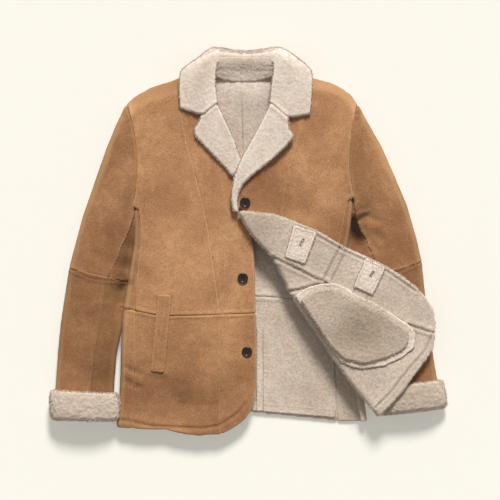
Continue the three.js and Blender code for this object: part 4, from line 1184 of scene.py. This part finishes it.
class COAT_OT_locks(bpy.types.Operator):
    """Grows the loose locks of the long wool and of the raw edges"""

    bl_idname = "coat.locks"
    bl_label = "Wool locks"

    def execute(self, context):
        length = wool().lock_length
        collar = ["wool_collar_leaf", "wool_lapel_right", "wool_lapel_left"]
        cuffs = ["wool_cuff_right", "wool_cuff_left"]
        bag = ["wool_pocket_bag_under", "wool_pocket_bag_upper"]
        tabs = [f"wool_{node}" for node in TABS]
        turned = [f"hide_{node}" for node in TURNED]
        back = [f"hide_{node}" for node in BACK] + [f"wool_{node}" for node in WOOL_TRIMS]
        wool_locks("locks_collar", collar, 620000, length, 0.5 * MM, 1.2)
        wool_locks("locks_cuffs", cuffs, 300000, 1.1 * length, 0.6 * MM, 1.1)
        wool_locks("locks_turned_front", turned, 330000, 0.8 * length, 0.5 * MM, 1.3)
        wool_locks("locks_pocket_bag", bag, 600000, 0.8 * length, 0.5 * MM, 1.2)
        wool_locks("locks_patches", tabs, 900000, 0.9 * length, 0.5 * MM, 1.0)
        wool_locks("locks_back", back, 110000, 0.7 * length, 0.5 * MM, 1.4)
        fronts = ["hide_front_right_centre_upper", "hide_front_right_centre_lower"]
        wool_locks("locks_front_edge", fronts, 900000, 0.8 * length, 0.5 * MM, 0.8, near=FRONT_EDGE)
        return {"FINISHED"}


def horn_material():
    """Dark horn, polished, with a slow cloudy grain."""
    material, tree, shader = bare_material("Dark horn", 0.28)
    shader.inputs["Specular IOR Level"].default_value = 0.5
    place = tree.nodes.new("ShaderNodeTexCoord").outputs["Object"]
    grain = noise_node(tree, 240, 3, 0.6, 2.0)
    tree.links.new(place, grain.inputs["Vector"])
    tree.links.new(mix_colour(tree, grain.outputs["Fac"], trim().horn, (0.045, 0.030, 0.022)),
                   shader.inputs["Base Color"])
    return material


def thread_material(name, colour):
    material, tree, shader = bare_material(name, 0.7, 0.2)
    place = tree.nodes.new("ShaderNodeTexCoord").outputs["Object"]
    twist = noise_node(tree, 900, 2)
    tree.links.new(place, twist.inputs["Vector"])
    dark = tuple(0.6 * channel for channel in colour)
    tree.links.new(mix_colour(tree, twist.outputs["Fac"], colour, dark), shader.inputs["Base Color"])
    return material


class COAT_OT_buttons(bpy.types.Operator):
    """Rounds the three horn buttons and sews them on through their four holes"""

    bl_idname = "coat.buttons"
    bl_label = "Buttons"

    def execute(self, context):
        horn = horn_material()
        thread = thread_material("Button thread", (0.020, 0.016, 0.014))
        for node in BUTTONS:
            button = solid_copy(node, f"horn_{node}")
            apply_modifier(button, "BEVEL", width=0.5 * MM, segments=2, limit_method="ANGLE",
                           angle_limit=math.radians(35))
            button.data.polygons.foreach_set("use_smooth", [True] * len(button.data.polygons))
            button.data.materials.append(horn)
            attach(button, "root")
            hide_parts(node)
            low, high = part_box(node)
            middle = (Vector(low) + Vector(high)) / 2
            deselect()
            bars = []
            for turn in (1, -1):
                bpy.ops.mesh.primitive_cylinder_add(
                    vertices=8, radius=0.55 * MM, depth=6.4 * MM, end_fill_type="TRIFAN",
                    location=(middle.x, middle.y, high[2] - 0.75 * MM),
                    rotation=(math.pi / 2, 0, turn * math.pi / 4),
                )
                bars.append(context.active_object)
            activate(bars[0])
            bars[1].select_set(True)
            bpy.ops.object.join()
            bpy.ops.object.transform_apply(location=True, rotation=True, scale=True)
            bars[0].name = f"thread_{node}"
            bars[0].data.materials.append(thread)
            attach(bars[0], "root")
        return {"FINISHED"}


# Lines of stitching: the pieces they go through, and their course in the plan
STITCH_LINES = (
    (("front_right_side_lower", "front_right_centre_lower"),
     ((-245, -393), (-210, -399), (-147, -402), (-97, -404), (-62, -398), (-40, -385), (-20, -370), (-7, -352))),
    (("pocket_welt_right",), ((-182, -124), (-204, -282))),
    (("pocket_welt_right",), ((-173, -123), (-194, -281))),
    (("buttonhole_tab_middle",), ((107, 30), (145, 17), (122, -41), (88, -29), (107, 30))),
    (("buttonhole_tab_bottom",), ((262, -41), (295, -57), (270, -107), (238, -93), (262, -41))),
)
# The two sewn buttonholes: from, to
BUTTONHOLES = (
    ("buttonhole_tab_middle", (124.5, 8.1), (114.4, -8.8)),
    ("buttonhole_tab_bottom", (276.3, -62.7), (268.0, -76.1)),
)


def surface_height(obj, x, y):
    """Height of a piece's upper face over a place of the floor."""
    hit, place, _, _ = obj.ray_cast(Vector((x, y, 1.0)), Vector((0, 0, -1)))
    return place.z if hit else None


def stitch_row(form, pieces, start, end, radius, length, gap):
    """Adds a row of short thread capsules to a bmesh, on the face of the pieces."""
    run = (end - start).length
    direction = (end - start).normalized()
    count = max(1, int(run / (length + gap)))
    for i in range(count):
        middle = start + direction * ((i + 0.5) * run / count)
        heights = [surface_height(piece, middle.x, middle.y) for piece in pieces]
        heights = [height for height in heights if height is not None]
        if not heights:
            continue
        turn = direction.to_track_quat("Z", "Y").to_matrix().to_4x4()
        place = Vector((middle.x, middle.y, max(heights) + 0.25 * radius))
        squeeze = Matrix.Diagonal((1, 1, length / (2 * radius), 1))
        bmesh.ops.create_icosphere(form, subdivisions=1, radius=radius,
                                   matrix=Matrix.Translation(place) @ turn @ squeeze)


class COAT_OT_stitches(bpy.types.Operator):
    """Sews the visible rows of stitches and the buttonholes"""

    bl_idname = "coat.stitches"
    bl_label = "Stitches"

    def execute(self, context):
        form = bmesh.new()
        for nodes, line in STITCH_LINES:
            pieces = [next(obj for obj in bpy.data.objects if obj.name.split("_", 1)[-1] == node
                           and obj.name.split("_", 1)[0] in ("hide", "wool")) for node in nodes]
            for a, b in zip(line[:-1], line[1:]):
                stitch_row(form, pieces, plan(*a), plan(*b), 0.45 * MM, trim().stitch_length,
                           trim().stitch_gap)
        self.build(form, "stitches_tan", thread_material("Tan thread", hide().thread))
        form = bmesh.new()
        for node, a, b in BUTTONHOLES:
            piece = bpy.data.objects[f"wool_{node}"]
            start, end = plan(*a), plan(*b)
            across = Vector((end.y - start.y, start.x - end.x, 0)).normalized() * 2.2 * MM
            for offset in (-across, across):
                stitch_row(form, [piece], start + offset, end + offset, 0.9 * MM, 2.4 * MM, 0.0)
            stitch_row(form, [piece], start, end, 1.0 * MM, 5 * MM, 0.0)
        self.build(form, "stitches_buttonholes", thread_material("Brown thread", (0.10, 0.060, 0.035)))
        return {"FINISHED"}

    def build(self, form, name, material):
        mesh = bpy.data.meshes.new(name)
        form.to_mesh(mesh)
        form.free()
        mesh.materials.append(material)
        obj = bpy.data.objects.new(name, mesh)
        bpy.context.scene.collection.objects.link(obj)
        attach(obj, "root")


class COAT_OT_stage(bpy.types.Operator):
    """Lays the floor, and places the camera and the studio light"""

    bl_idname = "coat.stage"
    bl_label = "Stage"

    def execute(self, context):
        deselect()
        bpy.ops.mesh.primitive_plane_add(size=8)
        floor = context.active_object
        floor.name = "studio_floor"
        material, tree, shader = bare_material("Paper", 0.9)
        shader.inputs["Base Color"].default_value = (*studio().floor, 1)
        shader.inputs["Emission Color"].default_value = (1.0, 0.985, 0.905, 1)
        shader.inputs["Emission Strength"].default_value = studio().glow
        floor.data.materials.append(material)

        camera = bpy.data.cameras.new("Camera")
        camera.sensor_width = 36
        height = studio().camera_height
        camera.lens = camera.sensor_width * height / studio().picture_width
        camera.clip_end = 30
        view = bpy.data.objects.new("Camera", camera)
        view.location = (*plan(6.6, -17.6)[:2], height)
        context.scene.collection.objects.link(view)
        context.scene.camera = view

        sun = bpy.data.lights.new("Window", "SUN")
        sun.energy = studio().sun
        sun.angle = math.radians(15)
        sun.color = (1.0, 0.985, 0.965)
        window = bpy.data.objects.new("Window", sun)
        height = math.radians(studio().sun_height)
        towards = Vector((0.10, math.cos(height), math.sin(height)))
        window.rotation_euler = towards.to_track_quat("Z", "Y").to_euler()
        context.scene.collection.objects.link(window)
        world = bpy.data.worlds.new("Room")
        world.use_nodes = True
        back = world.node_tree.nodes["Background"]
        back.inputs["Color"].default_value = (1.0, 0.99, 0.975, 1)
        back.inputs["Strength"].default_value = studio().room
        context.scene.world = world
        context.scene.view_settings.view_transform = "Standard"
        context.scene.view_settings.look = "None"
        return {"FINISHED"}


class COAT_PT_panel(bpy.types.Panel):
    """Lists the coat's settings and its steps"""

    bl_idname = "COAT_PT_panel"
    bl_label = "Shearling Coat"
    bl_space_type = "VIEW_3D"
    bl_region_type = "UI"
    bl_category = "Coat"

    def draw(self, context):
        layout = self.layout
        for settings in (hide(), wool(), trim(), studio()):
            box = layout.box()
            for name in settings.__annotations__:
                box.prop(settings, name)
        for step in STEPS:
            layout.operator(step.bl_idname)


SETTINGS = (
    ("coat_hide", HideSettings),
    ("coat_wool", WoolSettings),
    ("coat_trim", TrimSettings),
    ("coat_stage", StageSettings),
)
STEPS = (
    COAT_OT_materials,
    COAT_OT_back,
    COAT_OT_sides,
    COAT_OT_fronts,
    COAT_OT_sleeves,
    COAT_OT_turned_front,
    COAT_OT_pocket,
    COAT_OT_tabs,
    COAT_OT_collar,
    COAT_OT_buttons,
    COAT_OT_stitches,
    COAT_OT_locks,
    COAT_OT_stage,
)


def register():
    for name, settings in SETTINGS:
        bpy.utils.register_class(settings)
        setattr(bpy.types.Scene, name, bpy.props.PointerProperty(type=settings))
    for step in STEPS:
        bpy.utils.register_class(step)
    bpy.utils.register_class(COAT_PT_panel)


def unregister():
    bpy.utils.unregister_class(COAT_PT_panel)
    for step in reversed(STEPS):
        bpy.utils.unregister_class(step)
    for name, settings in reversed(SETTINGS):
        delattr(bpy.types.Scene, name)
        bpy.utils.unregister_class(settings)


def main():
    register()
    for step in STEPS:
        group, action = step.bl_idname.split(".")
        getattr(getattr(bpy.ops, group), action)()


if __name__ == "__main__":
    main()
